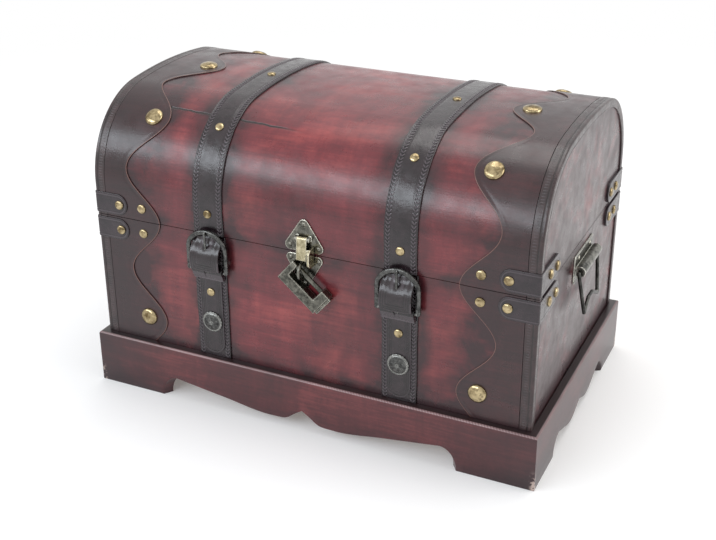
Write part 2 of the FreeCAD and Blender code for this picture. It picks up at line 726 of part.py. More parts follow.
def headSize(name):
    if "large" in name:
        return largeStudRadius, largeStudHeight
    if "small" in name:
        return smallStudRadius, smallStudHeight
    if name == "conchos":
        return conchoRadius, conchoHeight
    return nailRadius, nailHeight


# --------------------------------------------------------------- hasp
def lobedPlate(centres, lobe, hole, y, thick):
    """Plate round several lobes, drilled at each of them."""
    discs = [Part.makeCylinder(lobe, thick, V(x, y, z), V(0, -1, 0)) for x, z in centres]
    hull = []
    for i, (x, z) in enumerate(centres):
        for j in range(i + 1, len(centres)):
            u, w = centres[j]
            span = math.hypot(u - x, w - z)
            nx, nz = -(w - z) / span * lobe, (u - x) / span * lobe
            hull.append(prism([V(x + nx, y, z + nz), V(u + nx, y, w + nz), V(u - nx, y, w - nz),
                               V(x - nx, y, z - nz)], V(0, -thick, 0)))
    hull.append(prism([V(x, y, z) for x, z in centres], V(0, -thick, 0)))
    plate = join(discs + hull)
    return plate.cut([Part.makeCylinder(hole, thick + 2, V(x, y + 1, z), V(0, -1, 0))
                      for x, z in centres])


def hasp():
    face = -coverHalfY
    plateY = face - haspPlate
    upper = [(haspX, seamHeight + haspHoleTop), (haspX - haspHoleX, seamHeight + haspHoleLow),
             (haspX + haspHoleX, seamHeight + haspHoleLow)]
    plate = lobedPlate(upper, haspLobe, shankRadius, face, haspPlate)
    pinY, pinZ = plateY - knuckleGap - knuckleRadius, seamHeight + knuckleHeight
    half = tongueWidth / 2
    pinHalf = half + earGap + earWidth
    ears = []
    for x in (haspX - pinHalf, haspX + half + earGap):
        ear = Part.makeCylinder(knuckleRadius, earWidth, V(x, pinY, pinZ), V(1, 0, 0))
        foot = box(x, x + earWidth, pinY, plateY, pinZ - knuckleRadius, pinZ + knuckleRadius)
        ears.append(join([ear, foot]))
    plate = join([plate] + ears)
    pin = Part.makeCylinder(haspPinRadius, 2 * pinHalf, V(haspX - pinHalf, pinY, pinZ), V(1, 0, 0))
    plate = plate.cut(pin)
    # tongue: barrel on the pin, a flat drop in front of the staple, and a cheek on its right
    barrel = Part.makeCylinder(knuckleRadius, tongueWidth, V(haspX - half, pinY, pinZ), V(1, 0, 0))
    low = seamHeight - tongueDrop
    frontY = pinY - knuckleRadius
    drop = prism([V(haspX - half, frontY, pinZ), V(haspX - half, frontY + tongueThick, pinZ),
                  V(haspX - half, frontY + tongueThick - tongueLean, low),
                  V(haspX - half, frontY - tongueLean, low)],
                 V(tongueWidth, 0, 0))
    reachY = plateY - cheekGap
    cheekZ0, cheekZ1 = seamHeight - cheekDrop, seamHeight + cheekTop
    cheekX0 = haspX + cheekX
    radius = cheekReach * 0.55
    cheek = box(cheekX0, cheekX0 + cheekThick, reachY - cheekReach, reachY, cheekZ0, cheekZ1)
    cheek = cheek.makeFillet(radius, [e for e in cheek.Edges if along(e, V(1, 0, 0))
                                      and e.Vertexes[0].Point.y < reachY - 1])
    web = box(haspX + half - 1.0, cheekX0 + cheekThick, frontY - 0.4, frontY - 0.4 + webThick,
              seamHeight + webLow, seamHeight + webHigh)
    tongue = join([barrel, drop, cheek, web])
    bore = Part.makeCylinder(haspPinRadius + runGap, tongueWidth + 2, V(haspX - half - 1, pinY, pinZ),
                             V(1, 0, 0))
    tongue = tongue.cut(bore)
    # lower plate and staple
    underX = haspHoleX - haspUnderIn
    lower = [(haspX - underX, seamHeight - haspHoleUnder), (haspX + underX, seamHeight - haspHoleUnder),
             (haspX, seamHeight - haspFoot)]
    under = lobedPlate(lower, haspLobe - haspUnderTrim, shankRadius, face, haspPlate)
    stapleZ = seamHeight - stapleDrop
    reach = stapleInner + stapleRadius
    bowY = plateY - stapleLeg
    bars = []
    for side in (-1, 1):
        bars.append(Part.makeCylinder(stapleRadius, stapleLeg + stapleRoot,
                                      V(haspX, plateY + stapleRoot, stapleZ + side * reach), V(0, -1, 0)))
    bow = Part.makeTorus(reach, stapleRadius, V(haspX, bowY, stapleZ), V(1, 0, 0))
    size = reach + stapleRadius + 1
    bow = bow.common(box(haspX - size, haspX + size, bowY - size, bowY, stapleZ - size, stapleZ + size))
    staple = join(bars + [bow])
    under = under.cut(bars)
    parts = {"hasp_upper_plate": plate, "hasp_pin": pin, "hasp_tongue": tongue,
             "hasp_lower_plate": under, "hasp_staple": staple}
    for name, holes in (("hasp_lid_nails", upper), ("hasp_case_nails", lower)):
        heads = [headOn(V(x, plateY, z), V(0, -1, 0), haspNailRadius, haspNailHeight, haspNailRim)
                 for x, z in holes]
        parts[name] = Part.makeCompound(heads)
    holes = [(V(x, plateY, z), V(0, -1, 0)) for x, z in upper + lower]
    return parts, holes, bars


# --------------------------------------------------------------- padlock
def lockFrame():
    """Staple's middle, the bolt's direction and the direction across it."""
    tilt = math.radians(lockTilt)
    y = -coverHalfY - haspPlate - stapleLeg - lockHang
    pivot = V(haspX, y, seamHeight - stapleDrop)
    return pivot, V(math.cos(tilt), 0, -math.sin(tilt)), V(math.sin(tilt), 0, math.cos(tilt))


def padlock():
    pivot, run, across = lockFrame()

    def at(u, v, out=0.0):
        return pivot + run * u + across * v + V(0, out, 0)
    bottom = -boltRadius - lockSlot - lockBar
    half = lockThick / 2

    def slab(u0, u1, v0, v1, deep):
        return prism([at(u0, v0, -deep), at(u1, v0, -deep), at(u1, v1, -deep), at(u0, v1, -deep)],
                     V(0, 2 * deep, 0))
    left = slab(-lockLeft, -lockLeft + lockLeftPost, bottom, lockShoulder, half)
    right = slab(lockRight - lockRightPost, lockRight, bottom, lockShoulder, half)
    bar = slab(-lockLeft, lockRight, bottom, bottom + lockBar, half)
    body = join([left, right, bar])
    body = body.makeFillet(lockRound, [e for e in body.Edges if along(e, V(0, 1, 0))])
    body = body.makeFillet(lockEdge, [e for e in body.Edges if e.BoundBox.YLength < 1e-6
                                      and e.BoundBox.YMin < pivot.y - half + 1e-3])
    body = body.cut(Part.makeCylinder(boltRadius + boltGap, lockLeft + lockRight + 2, at(-lockLeft - 1, 0), run))
    capStart = lockRight + capGap
    cap = slab(capStart, capStart + boltCap, bottom + capFoot, lockShoulder - capTop, half - capSide)
    cap = cap.makeFillet(capRound, cap.Edges)
    bolt = Part.makeCylinder(boltRadius, lockLeft + capStart + capRound, at(-lockLeft, 0), run)
    bolt = join([bolt, cap])
    return {"padlock_body": body, "padlock_bolt": bolt}


# --------------------------------------------------------------- side handles
def handle():
    """Drop handle of the right end: plate with a barrel, and a bail with two pins."""
    x0 = coverHalfX
    y0, z0 = handleY, handleAxis
    half = handlePlateHalf
    top, low = z0 + handlePlateRise, z0 - handlePlateFall
    corner, turn = handleCorner, handleCorner * 0.29
    outline = [(-half, low + corner), (-half, top - corner), (-half + turn, top - turn, 0),
               (-half + corner, top), (half - corner, top), (half - turn, top - turn, 0),
               (half, top - corner), (half, low + corner), (half - turn, low + turn, 0),
               (half - corner, low), (-half + corner, low), (-half + turn, low + turn, 0)]
    plate = outlineFace(outline, lambda a, b: V(x0, y0 + a, b)).extrude(V(handlePlate, 0, 0))
    front = [e for e in plate.Edges if e.BoundBox.XMin > x0 + handlePlate - 1e-3]
    plate = plate.makeChamfer(handleEdge, front)
    axisX = x0 + handlePlate + handleOut
    barrel = Part.makeCylinder(barrelRadius, 2 * barrelHalf, V(axisX, y0 - barrelHalf, z0), V(0, 1, 0))
    plate = join([plate, barrel])
    bore = Part.makeCylinder(bailPinRadius + runGap, 2 * barrelHalf + 2,
                             V(axisX, y0 - barrelHalf - 1, z0), V(0, 1, 0))
    plate = plate.cut(bore)
    # bail: one round wire, from pin to pin
    bend = barrelHalf + bailSide + bailRadius
    foot = bend - bailTaper
    rise = bailDrop - bailArchRise
    lean = bailLean * rise / bailDrop
    side = [V(axisX, y0 + bend, z0), V(axisX + bailLean, y0 + foot, z0 - bailDrop),
            V(axisX + lean, y0 + bailArchHalf, z0 - rise)]
    other = [V(p.x, 2 * y0 - p.y, p.z) for p in side]
    wire = other + side[::-1]
    parts = [Part.makeSphere(bailRadius, p) for p in wire]
    parts += [Part.makeCylinder(bailRadius, (b - a).Length, a, b - a) for a, b in zip(wire, wire[1:])]
    parts += [Part.makeCylinder(bailPinRadius, bailPinReach + bailSide + bailRadius, p, d)
              for p, d in ((wire[0], V(0, 1, 0)), (wire[-1], V(0, -1, 0)))]
    bail = parts[0].fuse(parts[1:])
    nailPlaces = [(V(x0 + handlePlate, y0 + a, z0 + b), V(1, 0, 0))
                  for a in (-handleNailSide, handleNailSide) for b in (handleNailHigh, -handleNailLow)]
    plate = plate.cut([shankHole(p, n) for p, n in nailPlaces])
    return plate, bail, nailPlaces, axisX


# --------------------------------------------------------------- hinges
def hinges():
    """Two butt hinges on the outside of the back; their pins are the lid's axis."""
    axisY = coverHalfY + hingeBarrel + hingeSeat
    axisZ = seamHeight
    x0 = hingeX - hingeWidth / 2
    step = hingeWidth / hingeKnuckles
    gap = knuckleSide
    parts = {}
    bore = Part.makeCylinder(hingePinRadius + runGap, hingeWidth + 2, V(x0 - 1, axisY, axisZ), V(1, 0, 0))
    screws = {"case": [], "lid": []}
    for group, way in (("case", -1), ("lid", 1)):
        z0, z1 = sorted((axisZ + way * leafGap, axisZ + way * hingeLeaf))
        pieces = [box(x0, x0 + hingeWidth, coverHalfY, coverHalfY + hingeThick, z0, z1)]
        notches = []
        for i in range(hingeKnuckles):
            a, b = x0 + i * step, x0 + (i + 1) * step
            if (i % 2 == 0) == (way < 0):
                pieces.append(Part.makeCylinder(hingeBarrel, step - 2 * gap, V(a + gap, axisY, axisZ),
                                                V(1, 0, 0)))
                z0, z1 = sorted((axisZ + way * leafGap, axisZ + way * hingeBarrel * 0.999))
                pieces.append(box(a + gap, b - gap, coverHalfY, axisY, z0, z1))
            else:
                room = hingeBarrel + leafGap
                notches.append(box(a - gap, b + gap, coverHalfY - 1, axisY + room, axisZ - room, axisZ + room))
        leaf = join(pieces).cut([bore] + notches)
        places = [(V(x0 + hingeWidth * t, coverHalfY + hingeThick, axisZ + way * hingeLeaf * 0.62),
                   V(0, 1, 0)) for t in (0.17, 0.5, 0.83)]
        leaf = leaf.cut([shankHole(p, n) for p, n in places])
        parts["hinge_" + group + "_leaves"] = [leaf, mirrored(leaf)]
        screws[group] = places + [(V(-p.x, p.y, p.z), n) for p, n in places]
    pin = Part.makeCylinder(hingePinRadius, hingeWidth, V(x0, axisY, axisZ), V(1, 0, 0))
    parts["hinge_pins"] = [pin, mirrored(pin)]
    done = {name: Part.makeCompound(solids) for name, solids in parts.items()}
    for group in ("case", "lid"):
        done["hinge_" + group + "_screws"] = Part.makeCompound(
            [headOn(p, n, hingeScrewRadius, hingeScrewHeight, haspNailRim) for p, n in screws[group]])
    return done, screws["case"] + screws["lid"], axisY


# --------------------------------------------------------------- whole chest
def build():
    parts = {}
    for maker in (plinth, case, caseOverlays, lid, lidOverlays, lidStraps, caseStraps, buckles,
                  cornerTabs, padlock):
        parts.update(maker())
    holes = []
    for name, places in fixings().items():
        radius, height = headSize(name)
        parts[name] = Part.makeCompound([headOn(p, n, radius, height) for p, n in places])
        holes += places
    haspParts, haspHoles, stapleLegs = hasp()
    parts.update(haspParts)
    hingeParts, hingeHoles, axisY = hinges()
    parts.update(hingeParts)
    plate, bail, handleHoles, axisX = handle()
    parts["handle_plates"] = Part.makeCompound([plate, mirrored(plate)])
    parts["handle_bail_right"] = bail
    parts["handle_bail_left"] = mirrored(bail)
    handleHoles = handleHoles + [(V(-p.x, p.y, p.z), V(-1, 0, 0)) for p, n in handleHoles]
    parts["handle_nails"] = Part.makeCompound(
        [headOn(p, n, handleNailRadius, handleNailHeight, haspNailRim) for p, n in handleHoles])
    # every shank and staple leg has its own hole in what it goes through
    drilled = ["case_front_board", "case_back_board", "case_left_board", "case_right_board",
               "case_leather_cover", "case_lining", "case_edge_bindings", "case_overlays",
               "lid_front_rail", "lid_back_rail", "lid_dome_panel", "lid_left_end", "lid_right_end",
               "lid_leather_cover", "lid_end_covers", "lid_lining", "lid_edge_bindings",
               "lid_overlays", "lid_strap_left", "lid_strap_right", "case_straps",
               "buckle_chapes", "case_corner_tabs", "lid_corner_tabs"]
    drills = [shankHole(p, n) for p, n in holes + haspHoles + hingeHoles + handleHoles] + stapleLegs
    for name in drilled:
        bounds = parts[name].BoundBox
        near = [d for d in drills if bounds.intersect(d.BoundBox)]
        solids = []
        for solid in parts[name].Solids:
            close = [d for d in near if solid.BoundBox.intersect(d.BoundBox)]
            solids += (solid.cut(close) if close else solid).Solids
        parts[name] = Part.makeCompound(solids) if len(solids) > 1 else solids[0]
    return parts, axisY, axisX


parts, lidAxisY, bailAxisX = build()
os.makedirs("parts", exist_ok=True)
for name in sorted(parts):
    shape = parts[name]
    shape.exportStep(os.path.join("parts", name + ".step"))
    print(name, len(shape.Solids), round(shape.Volume), "valid" if shape.isValid() else "INVALID")
pivot, run, across = lockFrame()
print("nodes", len(parts))
print("lid axis", round(lidAxisY, 4), seamHeight)
print("padlock pivot", pivot, "run", run)
print("hasp pin", -coverHalfY - haspPlate - knuckleGap - knuckleRadius, seamHeight + knuckleHeight)
print("buckle heel", -coverHalfY - strapThick - heelOut, heelHeight)
print("bail axis", bailAxisX, handleAxis, "run of the lid", lidRun)
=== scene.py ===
import math
import bpy
import numpy as np
from mathutils import Matrix, Vector


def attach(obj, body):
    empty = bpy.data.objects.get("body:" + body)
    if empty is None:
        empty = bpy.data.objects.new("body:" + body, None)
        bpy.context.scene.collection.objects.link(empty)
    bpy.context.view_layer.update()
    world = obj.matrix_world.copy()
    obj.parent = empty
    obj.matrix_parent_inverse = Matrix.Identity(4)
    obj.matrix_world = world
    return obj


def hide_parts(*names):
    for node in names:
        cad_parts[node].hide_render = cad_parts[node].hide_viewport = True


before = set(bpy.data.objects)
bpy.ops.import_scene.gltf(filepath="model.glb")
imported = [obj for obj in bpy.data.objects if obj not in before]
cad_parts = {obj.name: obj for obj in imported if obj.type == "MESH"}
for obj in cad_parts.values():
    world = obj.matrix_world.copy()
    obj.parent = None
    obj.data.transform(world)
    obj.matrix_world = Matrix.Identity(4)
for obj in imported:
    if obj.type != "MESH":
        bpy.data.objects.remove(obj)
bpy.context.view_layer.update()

scene = bpy.context.scene
mm = 0.001

# the chest's main sizes, in millimetres, as the solids have them
chest = dict(
    halfX=212.5, halfY=130.0,          # over the edge binding
    plinthHalfX=220.0, plinthHalfY=137.0, plinthHeight=53.0,
    seam=176.0, seamGap=0.6, spring=207.0, top=290.0, shoulder=80.0,
    bindingThick=1.4, overlayThick=1.2, strapThick=1.7,
    waveCentre=161.0, waveSwing=16.5, wavePitch=100.0,
    strapX=92.5,
)
rise = chest["top"] - chest["spring"]
crown = ((chest["halfY"] ** 2 + rise ** 2 - 2 * chest["halfY"] * chest["shoulder"])
         / (2 * (rise - chest["shoulder"])))
crownZ = chest["top"] - crown
shoulderY = chest["halfY"] - chest["shoulder"]
turnAngle = math.atan2(chest["spring"] - crownZ, shoulderY)
upright = chest["spring"] - chest["seam"]
bend = chest["shoulder"] * turnAngle
lidRun = 2 * (upright + bend) + crown * (math.pi - 2 * turnAngle)
wallY = chest["bindingThick"] - chest["halfY"]         # front face of the leather cover
seamHalf = chest["seamGap"] / 2
caseLow = chest["plinthHeight"] + seamHalf - chest["seam"]      # foot of the case's leather, from the seam
sides = (("left", -1), ("right", 1))


def lidProfile(s):
    # point and outward normal of the lid's outline at arc length s from the front seam:
    # straight up, a shoulder arc, a flat crown arc, and the same mirrored at the back
    s = np.asarray(s, float)
    f = np.minimum(s, lidRun - s)
    sign = np.where(s > lidRun / 2, -1.0, 1.0)
    shoulderTurn = np.clip((f - upright) / chest["shoulder"], 0, turnAngle)
    crownTurn = turnAngle + (f - upright - bend) / crown
    onCrown = f > upright + bend
    turn = np.where(onCrown, crownTurn, shoulderTurn)
    ny, nz = -np.cos(turn), np.sin(turn)
    y = np.where(onCrown, crown * ny, -shoulderY + chest["shoulder"] * ny)
    z = np.where(onCrown, crownZ + crown * nz, chest["spring"] + chest["shoulder"] * nz)
    z = np.where(f < upright, chest["seam"] + f, z)
    return y * sign, z, ny * sign, nz


def points(*parts):
    # coordinates, each a number or an array, as one array of points
    return np.stack(np.broadcast_arrays(*parts), -1)


def quarter(count):
    # angles of a quarter circle
    return np.linspace(0, np.pi / 2, count)


def spread(half, count):
    # from -half to half, closer together at both ends
    return half * np.sin(np.linspace(-np.pi / 2, np.pi / 2, count))


def lidPlace(s, x, h):
    # point h outside the leather cover, at x across and s over the lid
    y, z, ny, nz = lidProfile(s)
    out = h - chest["bindingThick"]
    return points(x, y + ny * out, z + nz * out)


def casePlace(s, x, h):
    # the same on the case's front, with s measured up from the seam, so it is negative
    return points(x, wallY - h, chest["seam"] + s)


def lidFrame(s):
    # direction over the lid and outward normal
    y, z, ny, nz = lidProfile(s)
    return points(0 * ny, nz, -ny), points(0 * ny, ny, nz)


def caseFrame(s):
    up, none = np.ones(len(s)), np.zeros(len(s))
    return points(none, none, up), points(none, -up, none)


def bell(x, middle, wide, power=2):
    # 1 at the middle, falling as exp(-distance^power), with the distance in widths
    return np.exp(-((x - middle) / wide) ** power)


def edgeDrop(border, radius):
    # how far a rounded border lies below the top: a quarter circle within its radius
    return radius - np.sqrt(np.maximum(radius ** 2 - np.maximum(radius - border, 0) ** 2, 0))


def runOf(path):
    # distance along a row of points
    return np.hstack([[0.0], np.cumsum(np.linalg.norm(np.diff(path, axis=0), axis=1))])


def smoothPath(knots, count):
    # cubic through the knots (Catmull-Rom on chord length), evenly stepped
    knots = np.asarray(knots, float)
    chord = runOf(knots)
    slope = np.gradient(knots, chord, axis=0)
    at = np.linspace(0, chord[-1], count)
    k = np.clip(np.searchsorted(chord, at, side="right") - 1, 0, len(knots) - 2)
    gap = (chord[k + 1] - chord[k])[:, None]
    t = ((at - chord[k])[:, None]) / gap
    return ((2 * t ** 3 - 3 * t ** 2 + 1) * knots[k] + (t ** 3 - 2 * t ** 2 + t) * gap * slope[k]
            + (3 * t ** 2 - 2 * t ** 3) * knots[k + 1] + (t ** 3 - t ** 2) * gap * slope[k + 1])


def eased(values, times):
    # each inner value becomes half itself and a quarter of both neighbours
    for _ in range(times):
        values = np.hstack([values[:1], (values[:-2] + 2 * values[1:-1] + values[2:]) / 4, values[-1:]])
    return values


def gridFaces(nu, nv, wrapU=False):
    # quads of a grid of nu closed rings of nv points
    a, b = np.meshgrid(np.arange(nu if wrapU else nu - 1), np.arange(nv), indexing="ij")
    nextA, nextB = (a + 1) % nu, (b + 1) % nv
    return points(a * nv + b, nextA * nv + b, nextA * nv + nextB, a * nv + nextB).reshape(-1, 4)


def signedVolume(verts, faces):
    # sum of tetrahedra on the fan of each face, positive with outward normals
    total = 0.0
    for block in faces:
        corner = verts[block]
        total += np.einsum("ijk,ijk->", np.broadcast_to(corner[:, :1], corner[:, 1:-1].shape),
                           np.cross(corner[:, 1:-1], corner[:, 2:]))
    return total


def solid(verts, *faces):
    # vertices with face blocks, turned so that the normals point out
    verts = np.asarray(verts, float).reshape(-1, 3)
    if signedVolume(verts, faces) < 0:
        faces = [block[:, ::-1] for block in faces]
    return verts, faces


def swept(loops, closed=False):
    # closed sections along a path: loops is (steps, section points, 3), ends capped
    nu, nv = loops.shape[:2]
    ends = [] if closed else [np.arange(nv)[None, :], np.arange(nu * nv - 1, (nu - 1) * nv - 1, -1)[None, :]]
    return solid(loops, gridFaces(nu, nv, wrapU=closed), *ends)


def turned(profile, steps, centre, axis, bump):
    # lathe: profile is (radius, height) from the rim to the crown, which ends on the axis;
    # bump(radius, angle) adds height; the rim is closed by one flat face
    radius, height = np.asarray(profile, float).T
    centre, axis = np.asarray(centre, float), np.asarray(axis, float) / np.linalg.norm(axis)
    side = np.cross(axis, (0.0, 0.0, 1.0) if abs(axis[2]) < 0.9 else (0.0, 1.0, 0.0))
    side /= np.linalg.norm(side)
    r, a = np.meshgrid(radius[:-1], np.arange(steps) * 2 * np.pi / steps, indexing="ij")
    ring = (centre + (r * np.cos(a))[..., None] * side + (r * np.sin(a))[..., None] * np.cross(axis, side)
            + (height[:-1, None] + bump(r, a))[..., None] * axis)
    rows, around = len(radius) - 1, np.arange(steps)
    last = (rows - 1) * steps
    crown = points(last + around, last + (around + 1) % steps, rows * steps)
    return solid(np.vstack([ring.reshape(-1, 3), centre + height[-1] * axis]), gridFaces(rows, steps), crown,
                 around[None, :])


def leaves(centre, along, up, tilt, length, width, height, rings=5, steps=6):
    # many small pointed stitches at once: rings of radius sin(u)^0.7 between two points
    centre, along, up = (part.reshape(-1, 1, 1, 3) for part in (centre, along, up))
    across = np.cross(along, up)
    u = (np.arange(1, rings + 1) * np.pi / (rings + 1))[None, :, None]
    v = (np.arange(steps) * 2 * np.pi / steps)[None, None, :]
    lift = np.sin(u) ** 0.7

    def place(a, b, c):
        return (centre + (a * np.cos(tilt) - b * np.sin(tilt))[..., None] * along
                + (a * np.sin(tilt) + b * np.cos(tilt))[..., None] * across + c[..., None] * up)
    count, flat = len(centre), np.zeros((1, 1, 2))
    body = place(-length * np.cos(u) + 0 * v, width * lift * np.cos(v), height * lift * np.sin(v))
    ends = place(np.array([[[-length, length]]]), flat, flat).reshape(count, 2, 3)
    verts = np.hstack([body.reshape(count, -1, 3), ends])
    each = verts.shape[1]
    ring, after, last = np.arange(steps), (np.arange(steps) + 1) % steps, (rings - 1) * steps
    tips = np.vstack([points(after, ring, each - 2), points(last + ring, last + after, each - 1)])
    start = np.arange(count)[:, None, None] * each
    quads = (gridFaces(rings, steps)[None] + start).reshape(-1, 4)
    tips = (tips[None] + start).reshape(-1, 3)
    verts = verts.reshape(-1, 3)
    if signedVolume(verts - centre.mean((0, 1, 2)), [quads, tips]) < 0:
        quads, tips = quads[:, ::-1], tips[:, ::-1]
    return verts, [quads, tips]


def makePiece(node, kind, body, look, parts, sharp=40, values=None):
    # one object of several closed parts, in millimetres, in a CAD node's place; a part's third item is its
    # tone per vertex, from -1 for a groove painted darker as shade to 1 for a line painted lighter, mostly as
    # a highlight; values are more such floats
    name = node.replace("_board", "") + "_" + kind
    verts, faces, tones, start = [], [], [], 0
    for partVerts, partFaces, *tone in parts:
        verts.append(partVerts)
        tones.append(np.broadcast_to(tone[0] if tone else 0.0, len(partVerts)))
        for block in partFaces:
            faces.extend((block + start).tolist())
        start += len(partVerts)
    mesh = bpy.data.meshes.new(name)
    mesh.from_pydata((np.vstack(verts) * mm).tolist(), [], faces)
    mesh.update()
    mesh.polygons.foreach_set("use_smooth", [True] * len(mesh.polygons))
    mesh.set_sharp_from_angle(angle=math.radians(sharp))
    for key, numbers in {**(values or {}), "tone": np.hstack(tones)}.items():
        layer = mesh.attributes.new(key, "FLOAT", "POINT")
        layer.data.foreach_set("value", numbers.astype(np.float32))
    mesh.materials.append(looks[look])
    piece = bpy.data.objects.new(name, mesh)
    scene.collection.objects.link(piece)
    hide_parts(node)
    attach(piece, body)


class NodeKit:
    # one material's or the sky's nodes; a value given to them is a number, a colour, a
    # vector or another node's socket
    def __init__(self, owner, shader="Principled BSDF"):
        owner.use_nodes = True
        self.tree = owner.node_tree
        self.shader = self.tree.nodes[shader]

    def give(self, socket, value):
        if isinstance(value, bpy.types.NodeSocket):
            self.tree.links.new(value, socket)
        elif socket.type == "RGBA":
            socket.default_value = (*value, 1)
        else:
            socket.default_value = value

    def add(self, kind, inputs=None, **settings):
        node = self.tree.nodes.new("ShaderNode" + kind)
        for key, value in settings.items():
            setattr(node, key, value)
        for key, value in (inputs or {}).items():
            self.give(node.inputs[key], value)
        return node

    def surface(self, **values):
        for key, value in values.items():
            self.give(self.shader.inputs[shaderInputs[key]], value)

    def maths(self, operation, a, b=0.0):
        return self.add("Math", {0: a, 1: b}, operation=operation).outputs[0]

    def times(self, a, b):
        return self.maths("MULTIPLY", a, b)

    def plus(self, a, b):
        return self.maths("ADD", a, b)

    def minus(self, a, b):
        return self.maths("SUBTRACT", a, b)

    def away(self, a, middle=None):
        # distance from the middle, or the size of a
        return self.maths("ABSOLUTE", a if middle is None else self.minus(a, middle))

    def span(self, value, low, high, start=0.0, end=1.0, kind="LINEAR"):
        # start up to low, end past high, in a straight line between them or eased
        return self.add("MapRange", {"Value": value, "From Min": low, "From Max": high, "To Min": start,
                                     "To Max": end}, interpolation_type=kind).outputs[0]

    def fade(self, value, near, far, strength=1.0):
        # full strength up to near, fading out at far
        return self.span(value, near, far, strength, 0.0, "SMOOTHSTEP")

    def axes(self, vector=None):
        return self.add("SeparateXYZ", {"Vector": vector or self.place}).outputs

    def stretched(self, scales):
        return self.add("Mapping", {"Vector": self.place, "Scale": scales}).outputs["Vector"]

    def noise(self, scale, detail=4, rough=0.55, distort=0.0, vector=None):
        return self.add("TexNoise", {"Vector": vector or self.place, "Scale": scale, "Detail": detail,
                                     "Roughness": rough, "Distortion": distort}).outputs["Fac"]

    def cells(self, scale):
        return self.add("TexVoronoi", {"Vector": self.place, "Scale": scale},
                        feature="SMOOTH_F1").outputs["Distance"]

    def attribute(self, name):
        return self.add("Attribute", attribute_name=name).outputs["Fac"]

    def ramp(self, factor, places, colours):
        node = self.add("ValToRGB", {"Fac": factor})
        while len(node.color_ramp.elements) < len(places):
            node.color_ramp.elements.new(0.5)
        for element, place, colour in zip(node.color_ramp.elements, places, colours):
            element.position = place
            element.color = (*colour, 1)
        return node.outputs["Color"]

    def mix(self, factor, a, b):
        return self.add("Mix", {0: factor, 6: a, 7: b}, data_type="RGBA").outputs[2]

    def bump(self, height, strength, distance, normal=None):
        inputs = {"Height": height, "Strength": strength, "Distance": distance}
        return self.add("Bump", {**inputs, "Normal": normal} if normal else inputs).outputs["Normal"]


shaderInputs = dict(
    colour="Base Color", roughness="Roughness", metallic="Metallic", normal="Normal", coat="Coat Weight",
    coatRoughness="Coat Roughness", sheen="Sheen Weight", specular="Specular IOR Level",
    glowColour="Emission Color", glow="Emission Strength",
)
leatherLook = dict(
    tonePlaces=(0.34, 0.50, 0.66),      # deep, middle and bright share of the mottle
    tones=((0.042, 0.0075, 0.0110), (0.158, 0.0215, 0.0285), (0.350, 0.063, 0.060)),
    clouds=(13.0, 0.38), specks=(420.0, 0.08),      # scale and share
    strokes=(((10.0, 10.0, 90.0), 0.20), ((95.0, 14.0, 14.0), 0.14), ((24.0, 24.0, 420.0), 0.20)),
    # the cover's darkening colour: darker dye in blotches and painted shade along the overlays, beside the
    # straps, at the seam and at the foot; the plinth uses it too, darker at its ends and feet
    burnt=(0.016, 0.0056, 0.0082), overlayX=0.19, overlayBurn=(0.012, 0.075, 0.85),
    strapBurn=(0.016, 0.036, 0.62), seamBurn=(0.002, 0.017, 0.42), footBurn=(0.002, 0.02, 0.5),
    burnLimit=0.93,
    # the crease's dark colour is painted shade
    scar=(0.010, 0.004, 0.004), creaseRun=110.0, creaseX=0.1, creaseSlope=-0.02, creaseWander=0.0022,
    creaseWide=(0.00025, 0.00085), creaseLong=(0.055, 0.090), creaseDepth=0.0008, creaseY=(-0.02, -0.03),
    roughness=0.30, coat=0.18, coatRoughness=0.18,
    grainSize=900.0, grainDepth=0.00010, strand=(30.0, 700.0, 700.0), strandDepth=0.00016, waveDepth=0.0006,
)
overlayLook = dict(
    tones=((0.010, 0.0050, 0.0062), (0.026, 0.0085, 0.0105), (0.064, 0.0160, 0.0185)),
    # along the cut edge: a band of plain tone, a painted highlight on the rounded edge, and a painted shadow
    # line on the cut face
    lines=((0.8, 2.6, 0.55, (0.030, 0.010, 0.010)), (0.45, 0.75, 0.8, (0.24, 0.11, 0.09)),
           (0.05, 0.3, 0.9, (0.012, 0.006, 0.006))),
)


def leatherMottle(kit):
    # slow cloudy blotches under a fine weave of brush marks, along and across the chest
    scale, share = leatherLook["clouds"]
    total = kit.times(kit.noise(scale, 5, 0.62, 0.8), share)
    for stretch, share in leatherLook["strokes"]:
        strokes = kit.noise(1.0, 5, 0.62, 0.35, kit.stretched(stretch))
        total = kit.plus(total, kit.times(strokes, share))
    scale, share = leatherLook["specks"]
    return kit.plus(total, kit.times(kit.noise(scale, 3, 0.6), share))


def dyeAndPaintedShade(kit):
    # mask of darker dye in blotches together with painted shade: along the overlays, beside the straps, at
    # the seam and at the foot
    x, _, z = kit.axes()
    side = kit.away(x)
    total = kit.fade(kit.minus(leatherLook["overlayX"], side), *leatherLook["overlayBurn"])
    for value, shadeKey in ((kit.away(side, chest["strapX"] * mm), "strapBurn"),
                        (kit.away(z, chest["seam"] * mm), "seamBurn"),
                        (kit.minus(z, chest["plinthHeight"] * mm), "footBurn")):
        total = kit.plus(total, kit.fade(value, *leatherLook[shadeKey]))
    patches = kit.span(kit.noise(9.0, 4, 0.6, 0.5), 0.40, 0.66, 0.0, 0.55)
    loose = kit.span(kit.noise(38.0, 4, 0.6, 0.4), 0.32, 0.66, 0.45, 1.15)
    return kit.maths("MINIMUM", kit.times(kit.plus(total, patches), loose), leatherLook["burnLimit"])


